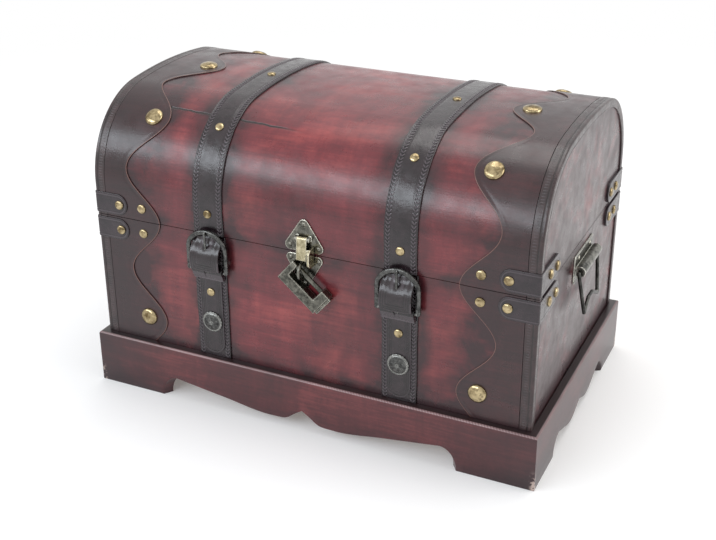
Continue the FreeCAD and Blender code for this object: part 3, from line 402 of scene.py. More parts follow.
def creaseLine(kit):
    # one crease of the lid's leather, along the chest near the left strap: a thin wandering line at a fixed
    # height of the front shoulder, fading at both ends; it masks the crease's bump and its painted shade
    x, y, z = kit.axes()
    along = kit.plus(x, leatherLook["creaseX"])
    wander = kit.times(kit.minus(kit.noise(60.0, 3), 0.5), leatherLook["creaseWander"])
    height = float(lidProfile(leatherLook["creaseRun"])[1]) * mm
    level = kit.plus(kit.plus(kit.times(along, leatherLook["creaseSlope"]), wander), height)
    line = kit.fade(kit.away(z, level), *leatherLook["creaseWide"])
    near = kit.fade(kit.away(along), *leatherLook["creaseLong"])
    return kit.times(kit.times(line, near), kit.span(y, *leatherLook["creaseY"]))


def edgeLines(kit, colour, lines):
    # thin tones along a cut edge: from, to, strength and colour, by distance in millimetres
    distance = kit.attribute("cutEdge")
    for low, high, strength, tone in lines:
        colour = kit.mix(kit.span(distance, low, high, strength, 0.0), colour, tone)
    return colour


def newKit(name):
    kit = NodeKit(bpy.data.materials.new(name))
    kit.place = kit.add("TexCoord").outputs["Object"]
    return kit


def redLeather(name, tones, lines=None):
    # the cover has its darker dye with painted shade, and its crease painted dark as shade; an overlay, with
    # lines, has its cut edge with a painted highlight and a painted shadow line
    kit, look = newKit(name), leatherLook
    colour = kit.ramp(leatherMottle(kit), look["tonePlaces"], tones)
    if lines:
        colour = edgeLines(kit, colour, lines)
    else:
        crease = creaseLine(kit)
        # darker dye with painted shade, then the crease's painted shade
        colour = kit.mix(crease, kit.mix(dyeAndPaintedShade(kit), colour, look["burnt"]), look["scar"])
    grain = kit.bump(kit.cells(look["grainSize"]), 0.5, look["grainDepth"])
    strands = kit.noise(1.0, 4, 0.6, vector=kit.stretched(look["strand"]))
    grain = kit.bump(strands, 0.35, look["strandDepth"], grain)
    waves = kit.bump(kit.noise(45.0, 3), 0.25, look["waveDepth"], grain)
    if not lines:
        waves = kit.bump(kit.minus(1.0, crease), 0.8, look["creaseDepth"], waves)
    rough = look["roughness"]
    kit.surface(colour=colour, roughness=kit.span(kit.noise(60.0), 0.3, 0.7, rough - 0.07, rough + 0.12),
                normal=waves, coat=look["coat"], coatRoughness=look["coatRoughness"])


# the first colour lightens raised lines and stitches as a painted highlight; the factor darkens grooves as
# painted shade
darkLook = dict(raised=(0.085, 0.068, 0.078), sunken=0.35, grainSize=700.0, grainDepth=0.00012,
                creaseDepth=0.0009, wearDepth=0.0004, coat=0.2, coatRoughness=0.18)


def darkLeather(name, base, tip, rough, lines=()):
    # tone is the mesh's own map: grooves, below 0, are painted darker as shade, and raised lines, stitches
    # and some borders, above 0, are painted lighter, as a painted highlight on the lines and stitches
    kit, look = newKit(name), darkLook
    wear = kit.noise(90.0, 6, 0.62, 0.3)
    colour = edgeLines(kit, kit.ramp(wear, (0.35, 0.68), (base, tip)), lines)
    tone = kit.attribute("tone")
    # painted highlight on raised tones, painted shade in grooves
    colour = kit.mix(kit.span(tone, 0.1, 1.0, 0.0, 0.8), colour, look["raised"])
    colour = kit.mix(kit.span(tone, -0.2, -1.0, 0.0, 0.75), colour, tuple(c * look["sunken"] for c in base))
    grain = kit.bump(kit.cells(look["grainSize"]), 0.4, look["grainDepth"])
    creased = kit.bump(kit.noise(70.0, 5, 0.6, 0.6), 0.45, look["creaseDepth"], grain)
    kit.surface(colour=colour, roughness=kit.span(kit.noise(150.0), 0.3, 0.7, rough - 0.07, rough + 0.13),
                normal=kit.bump(kit.noise(190.0), 0.4, look["wearDepth"], creased),
                coat=look["coat"], coatRoughness=look["coatRoughness"])


metalLook = dict(spot=0.35, bevel=0.0013, edge=(0.996, 0.92, 0.0, 0.95), pitDepth=0.00010)


def metal(name, dark, light, rough, patina, spread=180.0, worn=None):
    # blotchy plating with dark specks; worn is the bare tone of edges, where the rounded
    # normal of the bevel node leaves the true one
    kit, look = newKit(name), metalLook
    blotch = kit.noise(spread, 6, 0.65, 0.4)
    spots = kit.span(kit.noise(spread * 3.1, 5), 0.55, 0.7, 0.0, patina)
    colour = kit.ramp(blotch, (0.36, 0.62), (dark, light))
    colour = kit.mix(spots, colour, tuple(c * look["spot"] for c in dark))
    soft = None
    if worn:
        soft = kit.add("Bevel", {"Radius": look["bevel"]}, samples=6).outputs["Normal"]
        true = kit.add("NewGeometry").outputs["Normal"]
        turn = kit.add("VectorMath", {0: soft, 1: true}, operation="DOT_PRODUCT").outputs["Value"]
        colour = kit.mix(kit.span(turn, *look["edge"]), colour, worn)
    kit.surface(colour=colour, metallic=1.0, roughness=kit.span(blotch, 0.3, 0.7, rough + 0.12, rough - 0.05),
                normal=kit.bump(kit.noise(spread * 5), 0.3, look["pitDepth"], soft))


def boardWood(name):
    # growth rings stretched along the boards
    kit = newKit(name)
    rings = kit.noise(2.2, 6, 0.6, 1.2, kit.stretched((6.0, 60.0, 60.0)))
    colour = kit.ramp(rings, (0.3, 0.52, 0.7), ((0.20, 0.105, 0.05), (0.36, 0.21, 0.11), (0.44, 0.28, 0.16)))
    kit.surface(colour=colour, roughness=0.62, normal=kit.bump(rings, 0.3, 0.0003))


plinthLook = dict(
    tonePlaces=(0.36, 0.5, 0.64),
    tones=((0.028, 0.0080, 0.0100), (0.082, 0.0140, 0.0175), (0.185, 0.034, 0.036)),
    endBurn=(0.0, 0.11, 0.75), footBurn=(0.0, 0.03, 0.55, 0.0), burnLimit=0.9, top=(0.012, 0.0055, 0.0060),
    # the pale colour is the painted highlight of the front top edge
    rubbed=(0.36, 0.235, 0.235), tickPitch=0.0027, tickSlope=0.9, tickFrom=(-0.02, 0.08, 0.0, 0.42),
    bare=(0.52, 0.40, 0.35), chipDepth=(0.001, 0.0055), chipHigh=(0.004, 0.022),
    roughness=0.34, coat=0.2, grainSize=900.0, grainDepth=0.0001,
)


def plinthDarkening(kit, ends, z):
    # darker at both ends and at the feet, in blotches
    low = kit.span(z, *plinthLook["footBurn"])
    total = kit.plus(kit.fade(ends, *plinthLook["endBurn"]), low)
    blotches = kit.plus(kit.noise(22.0, 4, 0.6), 0.35)
    return kit.maths("MINIMUM", kit.times(total, blotches), plinthLook["burnLimit"])


def plinthEdgeHighlight(kit, x, z):
    # painted highlight along the front top edge, with slanted tool marks on the right part: a wave along x
    # and z that fades in from the middle
    glint = kit.span(kit.attribute("worn"), 0.35, 0.8, 0.0, 0.62, "SMOOTHSTEP")
    uneven = kit.span(kit.noise(26.0), 0.3, 0.6, 0.45, 1.0)
    slant = kit.plus(x, kit.times(z, plinthLook["tickSlope"]))
    ticks = kit.maths("SINE", kit.times(slant, 2 * math.pi / plinthLook["tickPitch"]))
    marks = kit.plus(1.0, kit.times(ticks, kit.span(x, *plinthLook["tickFrom"])))
    return kit.times(kit.times(glint, uneven), marks)


def plinthChips(kit, ends, y, z):
    # paint chipped off near the feet of the four corners
    depth = kit.minus(chest["plinthHalfY"] * mm, kit.away(y))
    corner = kit.times(kit.fade(kit.plus(ends, depth), *plinthLook["chipDepth"]),
                       kit.fade(z, *plinthLook["chipHigh"]))
    return kit.times(corner, kit.span(kit.noise(260.0, 3, 0.6), 0.50, 0.54, 0.0, 0.9))


def plinthWood(name):
    # the chest's red on wood, darker on top, where the normal points up
    kit, look = newKit(name), plinthLook
    x, y, z = kit.axes()
    ends = kit.minus(chest["plinthHalfX"] * mm, kit.away(x))
    colour = kit.ramp(leatherMottle(kit), look["tonePlaces"], look["tones"])
    colour = kit.mix(plinthDarkening(kit, ends, z), colour, leatherLook["burnt"])
    up = kit.axes(kit.add("NewGeometry").outputs["Normal"])["Z"]
    colour = kit.mix(kit.span(up, 0.75, 0.98, 0.0, 0.85), colour, look["top"])
    # painted highlight along the rounded front top edge
    colour = kit.mix(plinthEdgeHighlight(kit, x, z), colour, look["rubbed"])
    colour = kit.mix(plinthChips(kit, ends, y, z), colour, look["bare"])
    kit.surface(colour=colour, roughness=look["roughness"], coat=look["coat"],
                normal=kit.bump(kit.cells(look["grainSize"]), 0.3, look["grainDepth"]))


def felt(name):
    # short fibres as fine noise
    kit = newKit(name)
    fuzz = kit.noise(900.0, 5, 0.7)
    kit.surface(colour=kit.ramp(fuzz, (0.3, 0.7), ((0.035, 0.012, 0.010), (0.085, 0.035, 0.030))),
                roughness=0.92, sheen=0.25, normal=kit.bump(fuzz, 0.5, 0.0003))


redLeather("red leather", leatherLook["tones"])
redLeather("overlay leather", overlayLook["tones"], overlayLook["lines"])
darkLeather("strap leather", (0.0085, 0.0048, 0.0062), (0.026, 0.0155, 0.0190), 0.25)
darkLeather("tab leather", (0.0100, 0.0056, 0.0080), (0.028, 0.0165, 0.0215), 0.27)
# its line along the lip is painted shade in the join with the overlay
darkLeather("binding leather", (0.016, 0.0088, 0.0095), (0.046, 0.023, 0.024), 0.3,
            lines=((0.9, 1.6, 0.9, (0.006, 0.003, 0.003)),))
metal("antique brass", (0.130, 0.092, 0.044), (0.52, 0.42, 0.245), 0.19, 0.6, spread=110.0)
metal("antique metal", (0.040, 0.040, 0.035), (0.175, 0.170, 0.145), 0.26, 0.5, worn=(0.76, 0.74, 0.64))
metal("dark pewter", (0.030, 0.030, 0.030), (0.125, 0.125, 0.120), 0.25, 0.5, worn=(0.36, 0.36, 0.34))
metal("pale plate", (0.050, 0.050, 0.045), (0.26, 0.255, 0.225), 0.27, 0.5, worn=(0.72, 0.71, 0.64))
metal("dark iron", (0.022, 0.022, 0.021), (0.085, 0.084, 0.078), 0.28, 0.4, worn=(0.30, 0.30, 0.27))
# the hasp tongue's metal is painted brighter, as if lit from above: a painted highlight; its edges are bare
# metal
metal("worn bright metal", (0.22, 0.19, 0.11), (0.55, 0.49, 0.33), 0.24, 0.3, worn=(0.80, 0.76, 0.62))
plinthWood("plinth paint")
boardWood("pale board")
felt("dark felt")
looks = bpy.data.materials

# the look of a node is that of the first of these words in its name
nodeLooks = (
    ("corner_blocks", "pale board"), ("plinth", "plinth paint"), ("leather_cover", "red leather"),
    ("end_covers", "red leather"), ("overlays", "overlay leather"), ("binding", "binding leather"),
    ("lining", "dark felt"), ("strap_nails", "antique brass"), ("studs", "antique brass"),
    # the tongue's brighter metal is a painted highlight
    ("hasp_tongue", "worn bright metal"), ("handle_plates", "pale plate"), ("handle_bail", "dark iron"),
    ("hasp", "antique metal"), ("padlock", "antique metal"), ("hinge", "antique metal"),
    ("handle", "antique metal"), ("buckle_frame", "dark pewter"), ("buckle_prong", "dark pewter"),
    ("conchos", "dark pewter"), ("strap", "strap leather"), ("chape", "strap leather"),
    ("tabs", "strap leather"), ("", "pale board"),
)
for name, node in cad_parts.items():
    look = looks[next(look for word, look in nodeLooks if word in name)]
    if not node.material_slots:
        node.data.materials.append(look)
    for slot in node.material_slots:
        slot.material = look
print("materials done")


straps = dict(
    lidWidth=30.0, caseWidth=33.0, thick=1.7, edge=0.75,            # rounded long edges
    stitchIn=3.5, stitchPair=1.15, stitchSink=0.3,                  # chevron's middle, and half its split
    stitchPitch=3.4, stitchLong=1.9, stitchWide=0.78, stitchHigh=0.62, stitchTilt=0.66,
    groove=0.42, grooveWide=2.3, innerLine=6.6, innerDeep=0.16, innerWide=0.45,
    step=2.2, swing=0.12, swingRun=11.0, ripple=0.08, rippleRun=4.3,        # hand-cut edge
)


def strapSection(width):
    # closed section (x, h) of a strap: rounded edges, a channel under each row of stitches
    # and a fine scored line inside it, h = thick - bells(|x|)
    half, edge, thick = width / 2, straps["edge"], straps["thick"]
    turn = quarter(6)
    edgeX, edgeH = half - edge + edge * np.cos(turn), thick - edge + edge * np.sin(turn)
    flatX = np.linspace(half - edge, -(half - edge), 61)[1:-1]
    stitchX = half - straps["stitchIn"]
    flatH = (thick - straps["groove"] * bell(np.abs(flatX), stitchX, straps["grooveWide"], 4)
             - straps["innerDeep"] * bell(np.abs(flatX), half - straps["innerLine"], straps["innerWide"]))
    x = np.hstack([[half], edgeX, flatX, -edgeX[::-1], [-half]])
    h = np.hstack([[0.0], edgeH, flatH, edgeH[::-1], [0.0]])
    # the tone paints the channel under each row of stitches darker: painted shade
    return x, h, -bell(np.abs(x), stitchX, straps["grooveWide"], 4)


def strapParts(place, low, high, centre, width, frameAt):
    # strap body and its four slanted rows of stitches, which meet in chevrons
    x, h, tone = strapSection(width)
    s = np.linspace(low, high, int((high - low) / straps["step"]))
    swing = (straps["swing"] * np.sin(s / straps["swingRun"] + centre)
             + straps["ripple"] * np.sin(s / straps["rippleRun"]))
    cutX = centre + x + swing[:, None] * np.sign(x) * (np.abs(x) > width / 2 - 1)
    parts = [(*swept(place(s[:, None], cutX, h)), np.tile(tone, len(s)))]
    at = np.arange(low + 2.0, high - 1.5, straps["stitchPitch"])
    along, up = frameAt(at)
    for side, row in ((-1, -1), (-1, 1), (1, -1), (1, 1)):
        across = centre + side * (width / 2 - straps["stitchIn"]) + row * straps["stitchPair"]
        middle = place(at, across, straps["thick"] - straps["stitchSink"])
        # the stitches' tone of 1 paints them lighter: a painted highlight
        parts.append((*leaves(middle, along, up, row * straps["stitchTilt"], straps["stitchLong"],
                              straps["stitchWide"], straps["stitchHigh"]), 1.0))
    return parts


for side, sign in sides:
    makePiece("lid_strap_" + side, "leather", "lid", "strap leather",
              strapParts(lidPlace, seamHalf, lidRun - seamHalf, sign * chest["strapX"], straps["lidWidth"],
                         lidFrame))
makePiece("case_straps", "leather", "case", "strap leather",
          [part for _, sign in sides
           for part in strapParts(casePlace, caseLow, -seamHalf, sign * chest["strapX"], straps["caseWidth"],
                                  caseFrame)])
print("straps done")


overlays = dict(
    thick=1.2, outer=201.3, edge=0.55, groove=0.18, grooveAt=3.4, grooveWide=1.5, step=1.6,
    depths=np.array([0.9, 1.4, 1.9, 2.4, 2.9, 3.4, 3.9, 4.4, 5.2, 6.4, 8.0, 11.0, 15.0]),
)


def overlayParts(place, low, high, sign):
    # strip from the cosine edge x = centre - swing cos(2 pi s / pitch) to the outer line, one
    # section per step of s: a rounded cut edge, and a shallow groove behind it
    thick, edge, outer, inner = (overlays[key] for key in ("thick", "edge", "outer", "depths"))
    s = np.linspace(low, high, int((high - low) / overlays["step"]))
    phase, swing = 2 * np.pi * s / chest["wavePitch"], chest["waveSwing"]
    waveX = (chest["waveCentre"] - swing * np.cos(phase))[:, None]
    slope = swing * 2 * np.pi / chest["wavePitch"] * np.sin(phase)
    lean = np.sqrt(1 + slope ** 2)[:, None]        # so that depths are measured square to the edge
    turn = quarter(6)
    depth = np.hstack([[0.0], edge * (1 - np.cos(turn)), inner])
    face = thick - overlays["groove"] * bell(inner, overlays["grooveAt"], overlays["grooveWide"])
    h = np.hstack([[0.0], thick - edge + edge * np.sin(turn), face, [thick, 0.0]])
    x = np.hstack([waveX + depth * lean, np.full((len(s), 2), outer)])
    fromEdge = np.hstack([np.broadcast_to(depth, (len(s), len(depth))), outer - waveX, outer - waveX])
    return swept(place(s[:, None], sign * x, h)), fromEdge.ravel()


for body, place, low, high in (("lid", lidPlace, seamHalf, lidRun - seamHalf),
                               ("case", casePlace, caseLow, -seamHalf)):
    parts, edges = zip(*(overlayParts(place, low, high, sign) for _, sign in sides))
    makePiece(body + "_overlays", "leather", body, "overlay leather", parts,
              values={"cutEdge": np.hstack(edges)})
print("overlays done")


bindings = dict(
    inner=201.6, outer=212.5, thick=1.4, endLeg=6.5, skin=1.4, step=2.5,
    rim=1.5, lip=0.6, groove=0.45, grooveAt=208.7, grooveWide=0.55, grooveTone=0.8,
    legGroove=0.3, legGrooveAt=1.8, legGrooveWide=0.5,
    tickPitch=2.5, tickAt=205.4, tickLong=2.1, tickWide=0.45, tickHigh=0.2, tickSink=0.08, tickTone=0.45,
    tickEdge=4.0,                          # keeps the stitches clear of the cut edge's dark line
)


def bindingSection():
    # closed section (x, h): lip beside the overlay, a scored line, a rolled rim on the
    # chest's edge, and a leg down the end
    b = bindings
    turn = quarter(7)
    rise, fall = 1 - np.cos(turn), 1 - np.sin(turn)
    foot, wood = b["thick"] - b["skin"] - b["endLeg"], b["outer"] - b["skin"]
    flat = np.linspace(b["inner"] + b["lip"], b["outer"] - b["rim"], 30)[1:-1]
    drop = np.linspace(b["thick"] - b["rim"], foot + b["lip"], 12)[1:-1]
    x = np.hstack([
        [b["inner"]], b["inner"] + b["lip"] * rise, flat, b["outer"] - b["rim"] * fall,
        b["outer"] - b["legGroove"] * bell(drop, foot + b["legGrooveAt"], b["legGrooveWide"]),
        b["outer"] - b["lip"] * rise, [wood, wood]])
    h = np.hstack([
        [0.0], b["thick"] - b["lip"] * fall,
        b["thick"] - b["groove"] * bell(flat, b["grooveAt"], b["grooveWide"]),
        b["thick"] - b["rim"] * rise, drop, foot + b["lip"] * fall, [foot, 0.0]])
    return x, h


def bindingParts(place, low, high, sign, frameAt):
    # binding body with its row of small ticks, and each vertex's distance from the lip
    b = bindings
    x, h = bindingSection()
    s = np.linspace(low, high, int((high - low) / b["step"]))
    # the scored line on the rim is painted darker: painted shade
    groove = -bell(x, b["grooveAt"], b["grooveTone"]) * (h > 0.5)
    body = swept(place(s[:, None], sign * x, h))
    at = np.arange(low + 2.0, high - 1.5, b["tickPitch"])
    # the ticks' tone paints them lighter: a painted highlight
    ticks = leaves(place(at, sign * b["tickAt"], b["thick"] - b["tickSink"]), *frameAt(at), np.pi / 2,
                   b["tickLong"], b["tickWide"], b["tickHigh"])
    edge = np.hstack([np.tile(runOf(points(x, h)), len(s)), np.full(len(ticks[0]), b["tickEdge"])])
    return [(*body, np.tile(groove, len(s))), (*ticks, b["tickTone"])], edge


def caseBack(s, x, h):
    return casePlace(s, x, h) * np.array([1.0, -1.0, 1.0])


def caseBackFrame(s):
    along, up = caseFrame(s)
    return along, -up


for body, runs in (("lid", [(lidPlace, seamHalf, lidRun - seamHalf, lidFrame)]),
                   ("case", [(casePlace, caseLow, -seamHalf, caseFrame),
                             (caseBack, caseLow, -seamHalf, caseBackFrame)])):
    parts, edges = zip(*(bindingParts(place, low, high, sign, frameAt)
                         for place, low, high, frameAt in runs for _, sign in sides))
    makePiece(body + "_edge_bindings", "leather", body, "binding leather", sum(parts, []),
              values={"cutEdge": np.hstack(edges)})
print("bindings done")


tabs = dict(frontReach=34.0, endReach=52.0, height=20.5, seamOff=2.0, thick=1.0, skirt=1.4,
            tipRadius=10.4, corner=1.3, edge=0.5, swell=0.15,
            line=2.1, lineWide=0.42, lineHigh=0.22, groove=3.0, grooveWide=0.5, grooveDeep=0.2,
            lineTone=0.5, grooveTone=3.2)


def tabSurface(reachA, reachB):
    # unrolled D-ended strap: rows from tip to tip, each a closed loop of (p, q, h), with
    # half height sqrt(R^2 - (R - d)^2) at d from a tip and a raised line near the border
    t = tabs
    half, radius = t["height"] / 2, t["tipRadius"]
    inset = radius - math.sqrt(radius ** 2 - half ** 2)
    tip = inset * (1 - np.cos(np.linspace(0.06, np.pi / 2, 16)))
    corner = np.linspace(-t["corner"], t["corner"] * (np.pi / 2 - 1), 7)
    front = np.linspace(-reachA + inset, -t["corner"], 26)
    end = np.linspace(corner[-1], reachB - inset, 36)
    p = np.hstack([-reachA + tip, front[1:-1], corner, end[1:-1], (reachB - tip)[::-1]])
    fromTip = np.minimum(p + reachA, reachB - p)
    tall = np.where(fromTip < inset, np.sqrt(np.maximum(radius ** 2 - (radius - fromTip) ** 2, 0)), half)
    q = spread(tall[:, None], 33)
    toTip = np.where(fromTip[:, None] < radius, radius - np.hypot(radius - fromTip[:, None], q), half)
    border = np.maximum(np.minimum(half - np.abs(q), toTip), 0)
    h = np.minimum(t["thick"] - t["swell"] - edgeDrop(border, t["edge"])
                   + t["lineHigh"] * bell(border, t["line"], t["lineWide"])
                   - t["grooveDeep"] * bell(border, t["groove"], t["grooveWide"]), t["thick"])
    rows = points(p[:, None], q, h)
    skirt = np.stack([points(p, sign * tall, -t["skirt"]) for sign in (1, -1)], 1)
    # the raised line is painted lighter as a painted highlight, the groove inside it darker as painted shade
    tone = bell(border, t["line"], t["lineTone"]) - 0.8 * bell(border, t["grooveTone"], t["lineTone"])
    return np.hstack([rows, skirt]), np.hstack([tone, np.zeros((len(p), 2))]).ravel()


def folded(rows, middleZ, signX, signY):
    # wraps the unrolled tab round the chest's corner: straight, quarter circle, straight
    p, q, h = rows[..., 0], rows[..., 1], rows[..., 2]
    c = tabs["corner"]
    turn = np.clip((p + c) / c, 0, np.pi / 2)
    pastFront, pastEnd = np.minimum(p + c, 0), np.maximum(p + c - c * np.pi / 2, 0)
    x = chest["halfX"] - c + pastFront + (c + h) * np.sin(turn)
    y = -chest["halfY"] + c + pastEnd - (c + h) * np.cos(turn)
    return points(signX * x, signY * y, middleZ + q)


tabRows, tabTone = tabSurface(tabs["frontReach"], tabs["endReach"] - tabs["corner"] * (2 - np.pi / 2))
tabRise = tabs["seamOff"] + tabs["height"] / 2
for body, way in (("lid", 1), ("case", -1)):
    makePiece(body + "_corner_tabs", "leather", body, "tab leather",
              [(*swept(folded(tabRows, chest["seam"] + way * tabRise, signX, signY)), tabTone)
               for signX in (-1, 1) for signY in (-1, 1)])
print("tabs done")


studs = dict(
    large=(8.5, 4.0), small=(4.4, 2.2), nail=(4.0, 2.0), concho=(10.0, 3.4),        # radius, height
    rim=0.5, sunk=0.6, rows=12, steps=40, dent=0.10, dentRadius=8.5, petals=8, beads=20,
    nailLow=19.7, nailPitch=100.0, nailDrop=56.2, conchoDrop=86.3, rise=12.25,
    seamOut=2.0, caseOut=3.0, caseLift=2.0, tabX=186.7, tabFace=0.85, endY=87.0, pair=18.0,
)


def domeParts(places, size):
    # profile: a short straight rim, then an ellipse r = R cos t, h = rim + (H - rim) sin t,
    # with shallow hammer dents of sin(3a + k) that fade at the rim and the crown
    radius, high = size
    rim, deep = studs["rim"], studs["dent"] * radius / studs["dentRadius"]
    t = quarter(studs["rows"])
    profile = np.vstack([[radius, -studs["sunk"]], [radius, rim * 0.5],
                         points(radius * np.cos(t) ** 0.9, rim + (high - rim) * np.sin(t))])

    def dents(k):
        return lambda r, a: (-deep * (1 + np.sin(3 * a + 2.1 * k))
                             * np.sin(np.pi * np.clip(r / radius, 0, 1)) ** 2)
    return [turned(profile, studs["steps"], *place, dents(k)) for k, place in enumerate(places)]


def rosetteParts(places, size):
    # concho: a beaded rim, a ring of petals and a raised middle, all from h(r, a)
    radius, high = size
    share = np.sqrt(np.linspace(1, 0, 44))
    base = (1.1 + (high - 1.5) * (1 - share ** 2) + 0.35 * bell(share, 0.28, 0.06)
            - 0.55 * bell(share, 0.86, 0.03))
    profile = np.vstack([[radius, -studs["sunk"]], points(radius * share, base)])

    def petals(r, a):
        share = r / radius
        return (bell(share, 0.56, 0.17) * (np.abs(np.cos(studs["petals"] / 2 * a)) - 0.55) * 0.75
                + bell(share, 0.945, 0.035) * 0.28 * np.cos(studs["beads"] * a)
                + bell(share, 0.14, 0.08) * 0.22 * np.cos(6 * a))
    return [turned(profile, 120, *place, petals) for place in places]


def lidSpots(across, runs, h):
    # places and outward normals on both sides of the lid
    spots = []
    for _, sign in sides:
        for s in runs:
            y, z, ny, nz = lidProfile(s)
            out = h - chest["bindingThick"]
            spots.append(((sign * across, y + ny * out, z + nz * out), (0.0, ny, nz)))
    return spots


def frontSpots(across, h, z):
    return [((sign * across, wallY - h, z), (0.0, -1.0, 0.0)) for _, sign in sides]


def tabSpots(z):
    # small studs at the seam: one on the overlay's front, and on each corner tab one on the
    # front and a pair on the end
    spots = []
    for _, x in sides:
        spots.append(((x * (chest["waveCentre"] + studs["seamOut"]), wallY - chest["overlayThick"], z),
                      (0.0, -1.0, 0.0)))
        for _, y in sides:
            spots.append(((x * studs["tabX"], y * (chest["halfY"] + studs["tabFace"]), z), (0.0, y, 0.0)))
            for endY in (studs["endY"], studs["endY"] + studs["pair"]):
                spots.append(((x * (chest["halfX"] + studs["tabFace"]), y * endY, z), (x, 0.0, 0.0)))
    return spots


chapeTop = chest["strapThick"] + 1.6
crests = [crest * chest["wavePitch"] for crest in (1, 2, 3)]
lidNails = [studs["nailLow"], *crests, lidRun - studs["nailLow"]]
studPlaces = (
    ("lid_studs_large", "large", lidSpots(chest["waveCentre"], crests, chest["overlayThick"])),
    ("case_studs_large", "large", frontSpots(chest["waveCentre"] + studs["caseOut"], chest["overlayThick"],
                                             chest["seam"] - chest["wavePitch"] + studs["caseLift"])),
    ("lid_studs_small", "small", tabSpots(chest["seam"] + studs["rise"])),
    ("case_studs_small", "small", tabSpots(chest["seam"] - studs["rise"])),
    ("lid_strap_nails", "nail", lidSpots(chest["strapX"], lidNails, chest["strapThick"])),
    ("case_strap_nails", "nail", frontSpots(chest["strapX"], chapeTop, chest["seam"] - studs["nailDrop"])),
)
for name, kind, places in studPlaces:
    makePiece(name, "brass", name.split("_")[0], "antique brass", domeParts(places, studs[kind]), sharp=60)
conchoPlaces = frontSpots(chest["strapX"], chapeTop, chest["seam"] - studs["conchoDrop"])
makePiece("conchos", "relief", "case", "dark pewter", rosetteParts(conchoPlaces, studs["concho"]), sharp=60)
print("studs done")


buckle = dict(
    axisY=-134.7, axisZ=143.0, half=21.0, bar=4.5, thick=3.2, shoulder=167.0, top=182.0, square=0.72,
    heelRadius=1.6, heelIn=1.0, ringRadius=2.8, ringHalf=1.8, ringTaper=0.06,
    prongRadius=1.3, prongTipY=-137.65, prongBend=173.5, prongTip=180.4, prongSquare=0.9, prongWide=1.15,
)


def hoopPath():
    # middle line of the frame in (x, z): up one side, over an arc and down the other
    b = buckle
    half = b["half"] - b["bar"] / 2
    rise = b["top"] - b["bar"] / 2 - b["shoulder"]
    radius = (half ** 2 + rise ** 2) / (2 * rise)
    turn = math.asin(half / radius)
    side = np.linspace(b["axisZ"], b["shoulder"] - 1.0, 16)
    arc = np.linspace(-turn, turn, 41)[1:-1]
    x = np.hstack([np.full(16, -half), radius * np.sin(arc), np.full(16, half)])
    z = np.hstack([side, b["top"] - b["bar"] / 2 - radius * (1 - np.cos(arc)), side[::-1]])
    return eased(x, 3), eased(z, 3)         # eases the corner between side and arc


def tube(x, y, z, radii, steps=20, square=1.0, stretch=(1.0, 1.0)):
    # round or squarish bar along points: superellipse section, sgn(cos)|cos|^square, ends closed
    path = points(x, y, z)
    along = np.gradient(path, axis=0)
    along /= np.linalg.norm(along, axis=1)[:, None]
    front = np.array([0.0, -1.0, 0.0])
    up = front - along * (along @ front)[:, None]
    up /= np.linalg.norm(up, axis=1)[:, None]
    across = np.cross(along, up)
    angle = np.arange(steps) * 2 * np.pi / steps
    c, s = (np.sign(part) * np.abs(part) ** square * scale
            for part, scale in zip((np.cos(angle), np.sin(angle)), stretch))
    radii = np.broadcast_to(radii, len(path))[:, None, None]
    return swept(path[:, None] + radii * (c[:, None] * across[:, None] + s[:, None] * up[:, None]))


def frameParts(centre):
    # hoop with slightly narrowed feet, and the heel bar between them
    b = buckle
    x, z = hoopPath()
    foot = z[0] - b["thick"] / 2 + 0.3
    x, z = np.hstack([x[:1], x, x[-1:]]), np.hstack([[foot], z, [foot]])
    radii = np.full(len(x), b["bar"] / 2)
    radii[[0, -1]] *= 0.75
    hoop = tube(centre + x, b["axisY"], z, radii, 24, b["square"], (1.0, b["thick"] / b["bar"]))
    reach = b["half"] - b["bar"] + b["heelIn"]
    return [hoop, tube(centre + np.linspace(-reach, reach, 9), b["axisY"], b["axisZ"], b["heelRadius"])]


def prongParts(centre):
    # a ring round the heel bar, of a turned section with slightly narrowed rims, and a
    # shank from it that tapers to a rounded tip on the frame's arch
    b = buckle
    turn = np.linspace(0, 2 * np.pi, 28, endpoint=False)[:, None]
    across = np.array([-1, -0.7, 0.7, 1, 1, 1, 0.7, -0.7, -1, -1])
    out = np.array([-1, -1, -1, -1, 0, 1, 1, 1, 1, 0])
    wide = across * b["ringHalf"] * (1 - b["ringTaper"] * np.abs(out))
    wall = (b["ringRadius"] + b["heelRadius"]) / 2 + out * (b["ringRadius"] - b["heelRadius"]) / 2
    ring = points(centre + wide, b["axisY"] + wall * np.cos(turn),
                                        b["axisZ"] + wall * np.sin(turn))
    startY, tipY = b["axisY"] - b["ringRadius"] + b["prongRadius"], b["prongTipY"]
    knots = np.array([(startY + 0.3, b["axisZ"] + 0.4), (startY - 0.25, b["axisZ"] + 6),
                      (tipY + 0.25, b["prongBend"] - 3), (tipY, b["prongBend"] + 1.5),
                      (tipY + 0.05, b["prongTip"] - 0.4), (tipY + 0.1, b["prongTip"] + 0.9)])
    run = runOf(knots)
    share = np.linspace(0, 1, 34)
    y, z = (eased(np.interp(share * run[-1], run, part), 4) for part in knots.T)
    radii = b["prongRadius"] * (0.95 - 0.25 * share) * np.sqrt(np.clip((1 - share) / 0.05, 0.02, 1))
    return [swept(ring, closed=True),
            tube(centre, y, z, radii, 16, b["prongSquare"], (b["prongWide"], 1.0))]


for side, sign in sides:
    for kind, parts, sharp in (("frame_", frameParts, 60), ("prong_", prongParts, 50)):
        makePiece("buckle_" + kind + side, "bar", side + "_buckle", "dark pewter",
                  parts(sign * chest["strapX"]), sharp=sharp)
print("buckles done")


